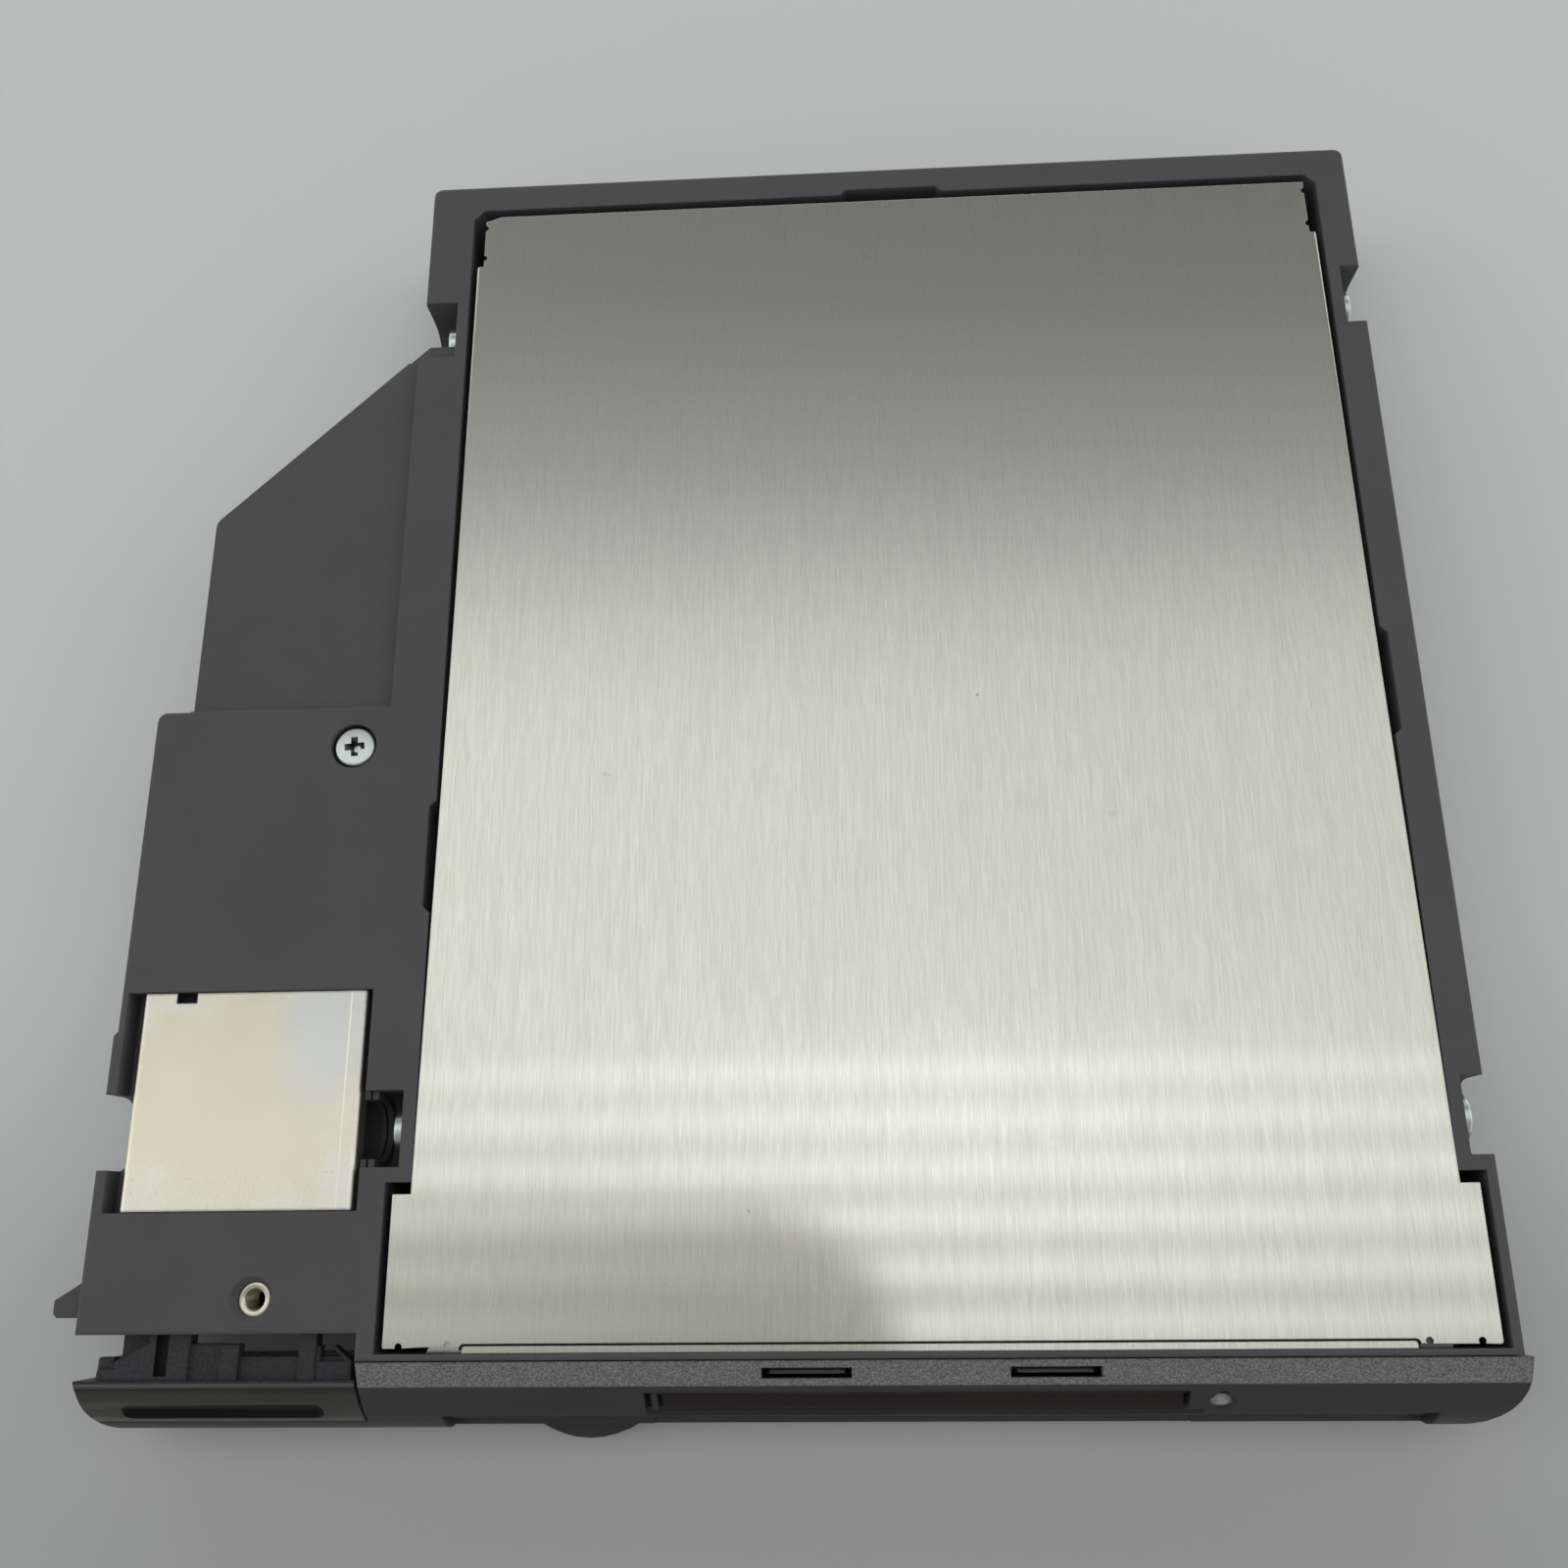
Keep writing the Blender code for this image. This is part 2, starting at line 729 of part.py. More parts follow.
def build_wing_screw():
    head_top = module_height - 0.0002
    head_low = module_height - 0.0012 + gap / 3
    profile = [(0, head_top), (wing_screw_head_radius - 0.0003, head_top),
               (wing_screw_head_radius, head_top - 0.0003), (wing_screw_head_radius, head_low),
               (0.0010, head_low), (0.0009, 0.0003), (0, 0.0003)]
    return turned("wing_screw", profile, (wing_screw_x, wing_screw_y, 0), material=zinc_steel,
                  sides=32)


def build_threaded_insert():
    top = module_height - insert_sunk
    low = module_height - insert_length
    profile = [(insert_hole_radius, low), (insert_hole_radius, top - 0.0002),
               (insert_hole_radius + 0.0002, top), (insert_radius - 0.0001, top),
               (insert_radius, top - 0.0001), (insert_radius, low), (insert_hole_radius, low)]
    return turned("threaded_insert", profile, (insert_x, insert_y, 0), material=nickel_metal,
                  sides=32)


def build_shield():
    top = module_height - 0.0002
    half_w = shield_width / 2
    low = top - shield_height
    outline = rounded([(shield_x - half_w, low), (shield_x - half_w, top, 0.00045),
                       (shield_x + half_w, top, 0.00045), (shield_x + half_w, low),
                       (shield_x + half_w - shield_sheet, low),
                       (shield_x + half_w - shield_sheet, top - shield_sheet, 0.0002),
                       (shield_x - half_w + shield_sheet, top - shield_sheet, 0.0002),
                       (shield_x - half_w + shield_sheet, low)], 3)
    shield = extruded("shield_cover", [outline], shield_y - shield_length / 2,
                      shield_y + shield_length / 2, tin_sheet, "Y")
    cut(shield, box("shield_notch", (shield_notch_x - shield_notch / 2,
                                     shield_notch_x + shield_notch / 2),
                    (shield_y + shield_length / 2 - 0.0010, shield_y + shield_length / 2 + 0.001),
                    (low - 0.001, top + 0.001)))
    return shield


# Cover plate and side screws
def build_cover_plate():
    rear_half = plate_half - plate_corner_cut
    outline = rounded([
        (-plate_wing_half, 0.0), (-plate_lip_half - 0.0034, 0.0002),
        (-plate_lip_half - 0.0034, -plate_lip), (plate_lip_half + 0.0034, -plate_lip),
        (plate_lip_half + 0.0034, 0.0003), (plate_wing_half, 0.0001),
        (plate_wing_half, plate_wing_depth), (plate_half, plate_wing_depth),
        (plate_half, plate_depth - plate_corner_length), (rear_half, plate_depth - plate_corner_length),
        (rear_half, plate_depth), (-rear_half + 0.0018, plate_depth),
        (-rear_half, plate_depth - 0.0006),
        (-rear_half, plate_depth - plate_corner_length), (-plate_half, plate_depth - plate_corner_length),
        (-plate_half, plate_wing_depth), (-plate_wing_half, plate_wing_depth),
    ])
    low = module_height - plate_flange
    plate = extruded("cover_plate", [outline], low, module_height, brushed_sheet, edge=0.00025)
    inside = plate_half - plate_sheet
    outside = plate_wing_half + 0.001
    behind = plate_depth + 0.001
    cut(plate, box("plate_inside", (-inside, inside), (-0.01, behind), (0.0, plate_low)))
    cut(plate, box("plate_front", (-outside, outside), (-0.01, plate_wing_depth + 0.0012),
                   (0.0, plate_low)))
    cut(plate, box("plate_rear", (-outside, outside),
                   (plate_depth - plate_corner_length - 0.0005, behind), (0.0, plate_low)))
    # Fold groove that sets off the lip, with round notches at the ends of its bends
    lip_left = -plate_lip_half
    lip_right = plate_lip_half
    groove = rounded([(lip_left - plate_groove, -0.002), (lip_right + plate_groove, -0.002),
                      (lip_right + plate_groove, plate_groove, 0.0006),
                      (lip_left - plate_groove, plate_groove, 0.0006)])
    strip = rounded([(lip_left, -0.003), (lip_right, -0.003), (lip_right, 0.0, 0.0005),
                     (lip_left, 0.0, 0.0005)])
    fold = extruded("fold_groove", [groove], module_height - plate_sheet + 0.00015,
                    module_height + 0.001)
    cut(fold, extruded("lip_strip", [strip], 0.0, 0.02))
    cut(plate, fold)
    step = rectangle(lip_left - plate_groove / 2, lip_right + plate_groove / 2, -0.004,
                     plate_groove / 2)
    cut(plate, extruded("lip_step", [step], module_height - 0.0002, module_height + 0.002))
    notches = [(side * x, 0.0) for side in (-1, 1) for x in (plate_wing_half - 0.0017,
                                                             plate_lip_half + 0.0012)]
    for side in (-1, 1):
        notches += [(side * rear_half, plate_depth - 0.0012),
                    (side * rear_half, plate_depth - plate_corner_length + 0.0012)]
    for number, (x, y) in enumerate(notches):
        cut(plate, cylinder(f"notch_{number}", (x, y, module_height), plate_notch_radius, 0.004,
                            sides=14))
    for side in (-1, 1):
        for y in (front_screw_y, rear_screw_y):
            cut(plate, cylinder(f"flange_hole_{side}_{y}", (side * plate_half, y, side_screw_z),
                                screw_hole_radius, 0.004, "X", sides=16))
    return plate


def build_side_screws():
    for side, side_name in ((-1, "left"), (1, "right")):
        for y, end_name in ((front_screw_y, "front"), (rear_screw_y, "rear")):
            seat = pocket_x + gap / 3
            tip = chassis_half - 0.0005
            profile = [(0, seat + screw_head), (screw_head_radius - 0.0003, seat + screw_head),
                       (screw_head_radius, seat + screw_head - 0.0003), (screw_head_radius, seat),
                       (screw_shank_radius, seat), (screw_shank_radius, tip), (0, tip)]
            turned(f"side_screw_{side_name}_{end_name}", profile, (0, y, side_screw_z),
                   "X" if side > 0 else "-X", zinc_steel, 16)


# Bezel, door, button and lamp
def bezel_front_curve(inset=0.0, steps=8):
    """(y, z) points down the bezel's front, moved in by inset at right angles to the curve."""
    top = module_height - 0.0003
    band = (band_drop_y, module_height - band_drop_z)
    belly = (bezel_front, bezel_belly)
    base = (bezel_base_y, bezel_base_z)
    points = [(bezel_back, top), band]
    points += bezier(band, (band[0] - 0.0016, band[1] - 0.00145), (belly[0], belly[1] + 0.0032),
                     belly, steps)
    points += bezier(belly, (belly[0], belly[1] - 0.0030), (base[0] - 0.0009, base[1]), base,
                     steps // 2)
    points.append((bezel_back, bezel_base_z))
    if inset == 0.0:
        return points
    moved = []
    for index, point in enumerate(points):
        before = Vector(points[max(index - 1, 0)])
        after = Vector(points[min(index + 1, len(points) - 1)])
        along = (after - before).normalized()
        place = Vector((point[0] - along.y * inset, point[1] + along.x * inset))
        # Where the curve turns tighter than the inset, its offset would fold back on itself
        if moved and (place - moved[-1]).dot(along) < 0.0001:
            continue
        moved.append(place)
    return moved


def front_plan(inset=0.0):
    """Plan outline of bezel and lever together, with their rounded ends."""
    front = bezel_front + inset - 0.0001
    right = bezel_right - inset
    bow_start = (right - bezel_corner, front)
    bow_end = (right, front + bezel_corner_depth)
    return rounded([
        (lever_left + inset, 0.01), (lever_left + inset, front, lever_corner), bow_start,
    ], 6) + bezier(bow_start, (right - bezel_corner * 0.42, front),
                   (right, front + bezel_corner_depth * 0.36), bow_end, 8) + [(right, 0.01)]


def front_body(name, left, right, inset=0.0, material=None):
    """The bezel's outer form between two places along X, drawn in by inset on every side."""
    section = bezel_front_curve(inset)
    if inset > 0.0:
        behind = bezel_back + 0.004
        section += [(behind, section[-1].y), (behind, section[0].y)]
    body = extruded(name, [section], left, right, material, "X")
    keep(body, extruded(f"plan_{name}", [front_plan(inset)], -0.01, module_height + 0.01))
    return body


def build_bezel():
    bezel = front_body("bezel", lever_left - 0.001, bezel_right + 0.001, material=bezel_paint)
    # The lever's place, above the chin
    cut(bezel, box("lever_place", (lever_left - 0.01, split_x + gap / 2), (-0.02, 0.02),
                   (chin_top, module_height + 0.01)))
    # Hollow behind the front wall, and the hollow of the chin
    cut(bezel, front_body("hollow", split_x + bezel_wall, bezel_right, bezel_wall))
    chin = front_body("chin_hollow", lever_left, split_x + gap / 2, bezel_wall)
    keep(chin, box("chin_height", (-0.1, 0.0), (-0.02, 0.02), (-0.01, chin_top - 0.0010)))
    cut(bezel, chin)
    return bezel


def finish_bezel(bezel):
    cut(bezel, box("slot", (-slot_half, slot_half), (-0.02, -0.0035), (slot_low, slot_high)))
    cut(bezel, box("scoop", (scoop_left, scoop_right), (-0.02, -0.0020), (scoop_low, scoop_high)))
    cut(bezel, box("scoop_foot", (scoop_right - 0.001, scoop_foot), (-0.02, -0.0020),
                   (scoop_low, scoop_foot_high)))
    # Side walls in the scoop, which carry the door's pins
    for number, (low, high) in enumerate((
            (door_left - gap - cheek_sheet, door_left - gap),
            (door_right + gap, door_right + gap + cheek_sheet))):
        cheek = box(f"cheek_{number}", (low, high), (-0.0071, -0.0033), (slot_high + 0.0001, 0.0131))
        keep(cheek, front_body(f"cheek_form_{number}", low - 0.001, high + 0.001, 0.0003))
        join(bezel, cheek)
    cut(bezel, cylinder("pin_hole", ((door_left + door_right) / 2, door_pin_y, door_pin_z),
                        door_pin_radius + gap / 2,
                        door_right - door_left + 2 * (gap + cheek_sheet) + 0.0002, "X", sides=16))
    cut(bezel, box("button_hole", (button_x - button_half - gap, button_x + button_half + gap),
                   (-0.02, -0.0035), (button_low - gap, button_high + gap)))
    for number, x in enumerate(snap_x):
        cut(bezel, box(f"snap_slot_{number}", (x - snap_half, x + snap_half),
                       (snap_front, snap_back), (0.0110, module_height)))
    # Oval dish with the lamp's hole in its middle
    dish = turned("lamp_dish", [(0, 0.0030), (lamp_recess_half * 1.6, 0.0030),
                                (lamp_radius, 0.0), (0, 0.0)],
                  (lamp_x, -0.0046, lamp_z), "-Y", sides=32)
    dish.scale = (1.0, 0.6, 1.0)
    cut(bezel, dish)
    cut(bezel, cylinder("lamp_hole", (lamp_x, -0.004, lamp_z), lamp_radius + gap / 2, 0.006, "Y",
                        sides=16))


def build_slot_door():
    face = bezel_front_curve(door_recess)[1:-1]
    back = bezel_front_curve(door_recess + door_sheet)[1:-1]
    section = face + back[::-1]
    door = extruded("slot_door", [section], door_left, door_right, door_plastic, "X")
    keep(door, box("door_height", (-slot_half, slot_half), (-0.02, -0.0036),
                   (scoop_low + gap, scoop_high - gap - 0.0001)))
    wings = extruded("door_wings", [section], -slot_half + gap, slot_half - gap, None, "X")
    keep(wings, box("wing_height", (-slot_half, slot_half), (-0.02, 0.02),
                    (slot_low + gap, slot_high - gap)))
    join(door, wings)
    middle = (door_left + door_right) / 2
    join(door, cylinder("door_pin", (middle, door_pin_y, door_pin_z), door_pin_radius,
                        door_right - door_left + 2 * (gap + cheek_sheet * 0.7), "X", sides=12))
    return set_origin(door, (middle, door_pin_y, door_pin_z))


def build_eject_button():
    reach = bezel_front - button_reach
    outline = bulge_outline(button_x, button_half, reach, bezel_front + 0.0040)
    return extruded("eject_button", [outline], button_low, button_high, bezel_paint, edge=0.0003)


def bulge_outline(x, half, front, back):
    """A key seen from above: straight sides and a bowed front."""
    points = [(x + half, back), (x - half, back)]
    bow = 0.0015
    for step in range(9):
        share = -1 + 2 * step / 8
        points.append((x + half * share, front + bow * share * share))
    return points[::-1]


def build_lamp_lens():
    return turned("lamp_lens", [(0, 0.0010), (lamp_radius * 0.5, 0.0009),
                                (lamp_radius * 0.85, 0.0006), (lamp_radius, 0.0002),
                                (lamp_radius, -0.0018), (0, -0.0018)],
                  (lamp_x, -0.0042, lamp_z), "-Y", clear_lens, 20)


# Release lever, latch hook and its spring
def build_release_lever():
    lever = front_body("release_lever", lever_left - 0.001, split_x - gap / 2,
                       material=bezel_paint)
    keep(lever, box("lever_height", (-0.1, 0.0), (-0.02, lever_back), (lever_low, module_height)))
    hollow = front_body("lever_hollow", lever_left, split_x - lever_wall, lever_wall)
    cut(lever, hollow)
    inner = split_x - gap / 2
    pin_x, pin_y = cam_pin_place()
    slot_end = pin_y + lever_travel + hook_pin_radius + gap
    arms = ((pin_x - 0.0020, pin_x + hook_travel + 0.0020, slot_end + 0.0007),
            (inner - 0.0056, inner - 0.0040, slot_end - 0.0010))
    floor = (lever_arm_low, lever_arm_high - 0.0006)
    join(lever, box("web", (lever_left + 0.0017, inner - 0.0008), (-0.0043, -0.0012), floor))
    # Step beside the cam arm, a rib in the middle and a braced pocket at the right end
    rib_low = lever_arm_low + 0.0003
    rim_high = lever_arm_high - 0.0001
    step_left = lever_left + 0.0018
    step_right = pin_x + hook_travel + 0.0007
    join(lever, extruded("step", [rounded([
        (step_left, -0.0038), (step_right, -0.0038), (step_right, -0.0002),
        (step_right - 0.0016, -0.0002), (step_left + 0.0014, -0.0022),
        (step_left, -0.0022, 0.0003)])], rib_low, rim_high))
    middle_rib = -(bay_half + 0.0168)
    join(lever, box("middle_rib", (middle_rib - 0.0009, middle_rib + 0.0009), (-0.0038, -0.0001),
                    (rib_low, rim_high)))
    brace_left = inner - 0.0042
    join(lever, extruded("brace", [[
        (brace_left, -0.0038), (inner - 0.0006, -0.0038), (inner - 0.0006, -0.0016),
        (inner - 0.0022, -0.0003), (inner - 0.0026, -0.0003), (inner - 0.0012, -0.0016),
        (brace_left + 0.0006, -0.0016), (brace_left + 0.0006, -0.0003), (brace_left, -0.0003)]],
        rib_low, rim_high - 0.0001))
    for number, (low, high, rear) in enumerate(arms):
        arm = box(f"arm_{number}", (low, high), (-0.0038, rear), (lever_arm_low, lever_arm_high))
        if number == 0:
            cut(arm, cam_slot("cam_slot"))
        join(lever, arm)
    cut(lever, extruded("grip_groove", [capsule(lever_groove_x - lever_groove_half, lever_groove_z,
                                                lever_groove_x + lever_groove_half,
                                                lever_groove_z, lever_groove_radius)],
                        -0.0100, -0.0058, axis="Y"))
    return set_origin(lever, (lever_groove_x, lever_back, lever_arm_low))


def cam_pin_place():
    return (lever_left + 0.0055, hook_front + 0.0014)


def cam_slot(name):
    """The slanted slot that draws the hook's pin in as the lever comes out."""
    x, y = cam_pin_place()
    radius = hook_pin_radius + gap
    return extruded(name, [capsule(x, y, x + hook_travel, y + lever_travel, radius)],
                    lever_arm_low - 0.001, lever_arm_high + 0.001)


def build_latch_hook():
    inside = block_edge + carrier_wall
    outline = rounded([
        (hook_tip, hook_front + 0.0004), (hook_tip + 0.0004, hook_front),
        (inside + 0.0088, hook_front),
        (inside + 0.0088, hook_front + 0.0030),
        (inside + 0.0120, hook_front + 0.0060),
        (inside + 0.0120, hook_front + 0.0079),
        (inside + 0.0034, hook_front + 0.0079),
        (inside + 0.0034, hook_front + 0.0042),
        (block_edge - 0.0004, hook_front + 0.0042),
        (hook_tip, hook_front + 0.0016),
    ])
    hook = extruded("latch_hook", [outline], hook_low, hook_high, moulded_dark)
    x, y = cam_pin_place()
    join(hook, cylinder("cam_pin", (x, y, (hook_high + lever_arm_high) / 2 - 0.0003),
                        hook_pin_radius, lever_arm_high - hook_high + 0.0004, sides=16))
    return set_origin(hook, (x, y, hook_high))


def build_latch_spring():
    start = block_edge + carrier_wall + 0.0120 + gap
    end = neck_edge - carrier_wall - gap
    return coil("latch_spring", (start, hook_front + 0.0069, (hook_low + hook_high) / 2),
                (1, 0, 0), end - start, latch_spring_radius, latch_spring_wire, 7, spring_steel)


# Drive chassis and sheets
def build_drive_chassis():
    top = plate_low - gap
    deck = box("drive_chassis", (-chassis_half, chassis_half), (chassis_front, chassis_rear),
               (chassis_low, top), cast_metal)
    inner = chassis_half - chassis_wall
    cut(deck, box("under_deck", (-inner, inner), (chassis_front - 0.01, chassis_rear - 0.0010),
                  (0.0, chassis_deck)))
    cut(deck, box("over_deck", (-inner, inner), (chassis_front - 0.01, chassis_rear + 0.01),
                  (chassis_deck + chassis_deck_sheet, 0.02)))
    cut(deck, cylinder("motor_window", (0, spindle_y, chassis_deck), rotor_radius + 0.0015, 0.004,
                       sides=40))
    cut(deck, box("spine_window", (-0.0066, 0.0066), (head_y - head_travel - 0.0024, 0.0700),
                  (chassis_deck - 0.001, 0.0125)))
    cut(deck, box("carriage_window", (screw_x - 0.0075, rod_x + 0.0040),
                  (rail_front + 0.0014, chassis_rear - 0.0020), (chassis_deck - 0.001, 0.0125)))
    for side in (-1, 1):
        for y in (front_screw_y, rear_screw_y):
            cut(deck, cylinder(f"thread_{side}_{y}", (side * chassis_half, y, side_screw_z),
                               screw_shank_radius + gap / 2, 0.004, "X", sides=16))
        for number, y in enumerate(cage_pin_y):
            slot = capsule(y, cage_pin_z, y, cage_pin_z + cage_lift, cage_pin_radius + gap)
            low, high = sorted((side * (chassis_half - 0.002), side * (chassis_half + 0.002)))
            cut(deck, extruded(f"pin_way_{side}_{number}", [slot], low, high, axis="X"))
    # Lugs that hold the guide rod and the front end of the lead screw
    for number, (x, y) in enumerate(((rod_x, rail_front), (screw_x, rail_front),
                                     (rod_x, chassis_rear - 0.0025))):
        join(deck, box(f"lug_{number}", (x - 0.0022, x + 0.0022), (y - 0.0010, y + 0.0012),
                       (0.0097, rail_z + rod_radius + 0.0005)))
    cut(deck, cylinder("rod_seat", (rod_x, (rail_front + chassis_rear) / 2 - 0.0010, rail_z),
                       rod_radius + 0.0001, chassis_rear - rail_front, "Y", sides=16))
    cut(deck, cylinder("screw_seat", (screw_x, rail_front, rail_z), lead_radius + 0.0001, 0.006,
                       "Y", sides=16))
    return deck


def build_drive_cover():
    half = chassis_half + 0.0007
    cover = box("drive_cover", (-half, half), (chassis_front - 0.0040, chassis_rear - 0.0010),
                (cover_low, cover_low + cover_sheet), brushed_sheet)
    for side in (-1, 1):
        for number, (low, high) in enumerate(((0.0025, 0.0060), (0.0900, 0.1070))):
            inner, outer = sorted((side * (half - 0.0004), side * half))
            join(cover, box(f"tab_{side}_{number}", (inner, outer), (low, high),
                            (cover_low, cover_low + 0.0040)))
    return cover


# Disk cage, eject slider and shutter lever
def build_disk_cage():
    front = chassis_front
    inner = cage_half - cage_sheet
    top = cage_lip_low + cage_sheet
    cage = box("disk_cage", (-cage_half, cage_half), (front, cage_rear), (cage_floor, top),
               zinc_steel)
    cut(cage, box("disk_space", (-inner, inner), (front - 0.01, cage_rear + 0.01),
                  (disk_low, cage_lip_low)))
    cut(cage, box("between_lips", (cage_lip - inner, inner - cage_lip),
                  (front - 0.01, cage_rear + 0.01), (cage_lip_low - 0.0005, 0.02)))
    cut(cage, box("head_window", (-0.0080, 0.0080), (head_y - head_travel - 0.0070, 0.12),
                  (0.0, disk_low + 0.0005)))
    cut(cage, extruded("hub_window", [circle(0, spindle_y, 0.0150, 32)], 0.0, disk_low + 0.0005))
    cut(cage, extruded("shutter_way", [shutter_slot()], 0.0, disk_low + 0.0005))
    cut(cage, extruded("shutter_seat", [circle(shutter_pivot_x, shutter_pivot_y, 0.0015, 16)], 0.0,
                       disk_low + 0.0005))
    for side in (-1, 1):
        for number, y in enumerate(cage_pin_y):
            reach = chassis_half + 0.0006 - (cage_half - cage_sheet / 2)
            middle = side * (cage_half - cage_sheet / 2 + reach / 2)
            join(cage, cylinder(f"cage_pin_{side}_{number}", (middle, y, cage_pin_z),
                                cage_pin_radius, reach, "X", sides=12))
    return cage


def shutter_slot():
    """An arc slot for the shutter lever's pin."""
    outline = []
    play = 0.0013
    steps = 10
    for radius, order in ((shutter_arm + play, 1), (shutter_arm - play, -1)):
        for step in range(steps + 1)[::order]:
            angle = shutter_rest_angle - 0.06 + (shutter_swing + 0.12) * step / steps
            outline.append((shutter_pivot_x + radius * math.cos(angle),
                            shutter_pivot_y + radius * math.sin(angle)))
    return outline


def build_shutter_lever():
    pin_x = shutter_pivot_x + shutter_arm * math.cos(shutter_rest_angle)
    pin_y = shutter_pivot_y + shutter_arm * math.sin(shutter_rest_angle)
    low = cage_floor - gap - 0.0005
    lever = extruded("shutter_lever", [capsule(shutter_pivot_x, shutter_pivot_y, pin_x, pin_y,
                                               0.0022)], low, cage_floor - gap, zinc_steel)
    join(lever, cylinder("shutter_pin", (pin_x, pin_y, low + 0.0024), 0.0009, 0.0046, sides=12))
    join(lever, cylinder("shutter_pivot", (shutter_pivot_x, shutter_pivot_y, low + 0.0011), 0.0012,
                         0.0020, sides=12))
    return set_origin(lever, (shutter_pivot_x, shutter_pivot_y, 0))


def build_eject_slider():
    top = slider_floor + slider_sheet
    outer = chassis_half + 0.0006
    slider = box("eject_slider", (-outer, outer), (0.0100, 0.0860), (slider_floor, top), zinc_steel)
    window = outer - 0.00725
    cut(slider, box("slider_window", (-window, window), (0.0200, 0.1000), (0.0, 0.01)))
    join(slider, box("button_arm", (button_x - 0.0030, button_x + 0.0030),
                     (bezel_front + 0.0040 + gap, 0.0110), (slider_floor, top)))
    for side in (-1, 1):
        low, high = sorted((side * (outer - slider_wing), side * outer))
        wing = box(f"wing_{side}", (low, high), (0.0245, 0.0840), (slider_floor, 0.0106))
        for number, y in enumerate(cage_pin_y):
            slot = capsule(y, cage_pin_z, y + slider_travel, cage_pin_z + cage_lift,
                           cage_pin_radius + gap)
            cut(wing, extruded(f"ramp_{side}_{number}", [slot], low - 0.001, high + 0.001,
                               axis="X"))
        join(slider, wing)
    return slider


# Spindle motor
def build_spindle():
    top = motor_base_low - gap
    half = motor_base_half
    base = box("motor_base", (-half, half), (spindle_y - half, spindle_y + half),
               (motor_base_low, motor_base_low + motor_base_sheet), zinc_steel)
    cut(base, cylinder("bushing_hole", (0, spindle_y, motor_base_low), bushing_radius + 0.0001,
                       0.004))
    turned("spindle_bushing", [(shaft_radius + 0.0001, 0.0106), (shaft_radius + 0.0001, 0.0133),
                               (bushing_radius, 0.0133), (bushing_radius, 0.0106),
                               (shaft_radius + 0.0001, 0.0106)],
           (0, spindle_y, 0), material=gold_plate, sides=24)
    rotor = turned("spindle_rotor", [
        (0, 0.0132), (shaft_radius, 0.0132), (shaft_radius, rotor_low + 0.0006),
        (rotor_radius - 0.0008, rotor_low + 0.0006), (rotor_radius - 0.0008, top),
        (rotor_radius, top), (rotor_radius, rotor_low), (hub_radius, rotor_low),
        (hub_radius - 0.0004, rotor_low - 0.0006), (hub_pin_radius, rotor_low - 0.0006),
        (hub_pin_radius, rotor_low - 0.0009), (0, rotor_low - 0.0009),
    ], (0, spindle_y, 0), material=zinc_steel, sides=40)
    outline = []
    for pole in range(stator_poles):
        middle = 2 * math.pi * pole / stator_poles
        for radius, share in ((0.0080, -0.20), (0.0165, -0.10), (0.0165, -0.36),
                              (stator_radius, -0.36), (stator_radius, 0.36), (0.0165, 0.36),
                              (0.0165, 0.10), (0.0080, 0.20)):
            angle = middle + share * 2 * math.pi / stator_poles
            outline.append((radius * math.cos(angle), radius * math.sin(angle) + spindle_y))
    extruded("motor_stator", [outline, circle(0, spindle_y, 0.0040)], 0.0105, top, copper_wire)
    return rotor


# Head carriage and its drive
def build_head_carriage():
    rear = arm_pivot_y + 0.0013
    carriage = box("head_carriage", (-0.0060, 0.0060), (head_y - 0.0018, rear),
                   (carriage_low, carriage_high), black_plastic)
    join(carriage, box("tower", (-0.0060, 0.0060), (arm_pivot_y - 0.0013, rear),
                       (arm_low + arm_sheet + gap, carriage_low + 0.0002)))
    join(carriage, box("bush_web", (0.0050, rod_x), (head_y + 0.0030, head_y + 0.0200),
                       (carriage_low + 0.0002, carriage_high - 0.0002)))
    join(carriage, cylinder("bush", (rod_x, head_y + 0.0115, rail_z), bush_outer, 0.0190, "Y",
                            sides=16))
    join(carriage, box("nut_arm", (screw_x, -0.0050), (head_y + 0.0032, head_y + 0.0068),
                       (carriage_low + 0.0002, carriage_high - 0.0002)))
    join(carriage, cylinder("nut", (screw_x, head_y + 0.0050, rail_z), bush_outer, 0.0040, "Y",
                            sides=16))
    cut(carriage, cylinder("rod_bore", (rod_x, head_y + 0.0115, rail_z), rod_radius + 0.00008,
                           0.03, "Y", sides=16))
    cut(carriage, cylinder("nut_bore", (screw_x, head_y + 0.0050, rail_z), lead_radius + 0.0001,
                           0.01, "Y", sides=16))
    box("lower_head", (-head_size / 2, head_size / 2), (head_y - head_size / 2,
                                                        head_y + head_size / 2),
        (carriage_low - 0.0014, carriage_low - 0.0001), white_plastic)
    return carriage


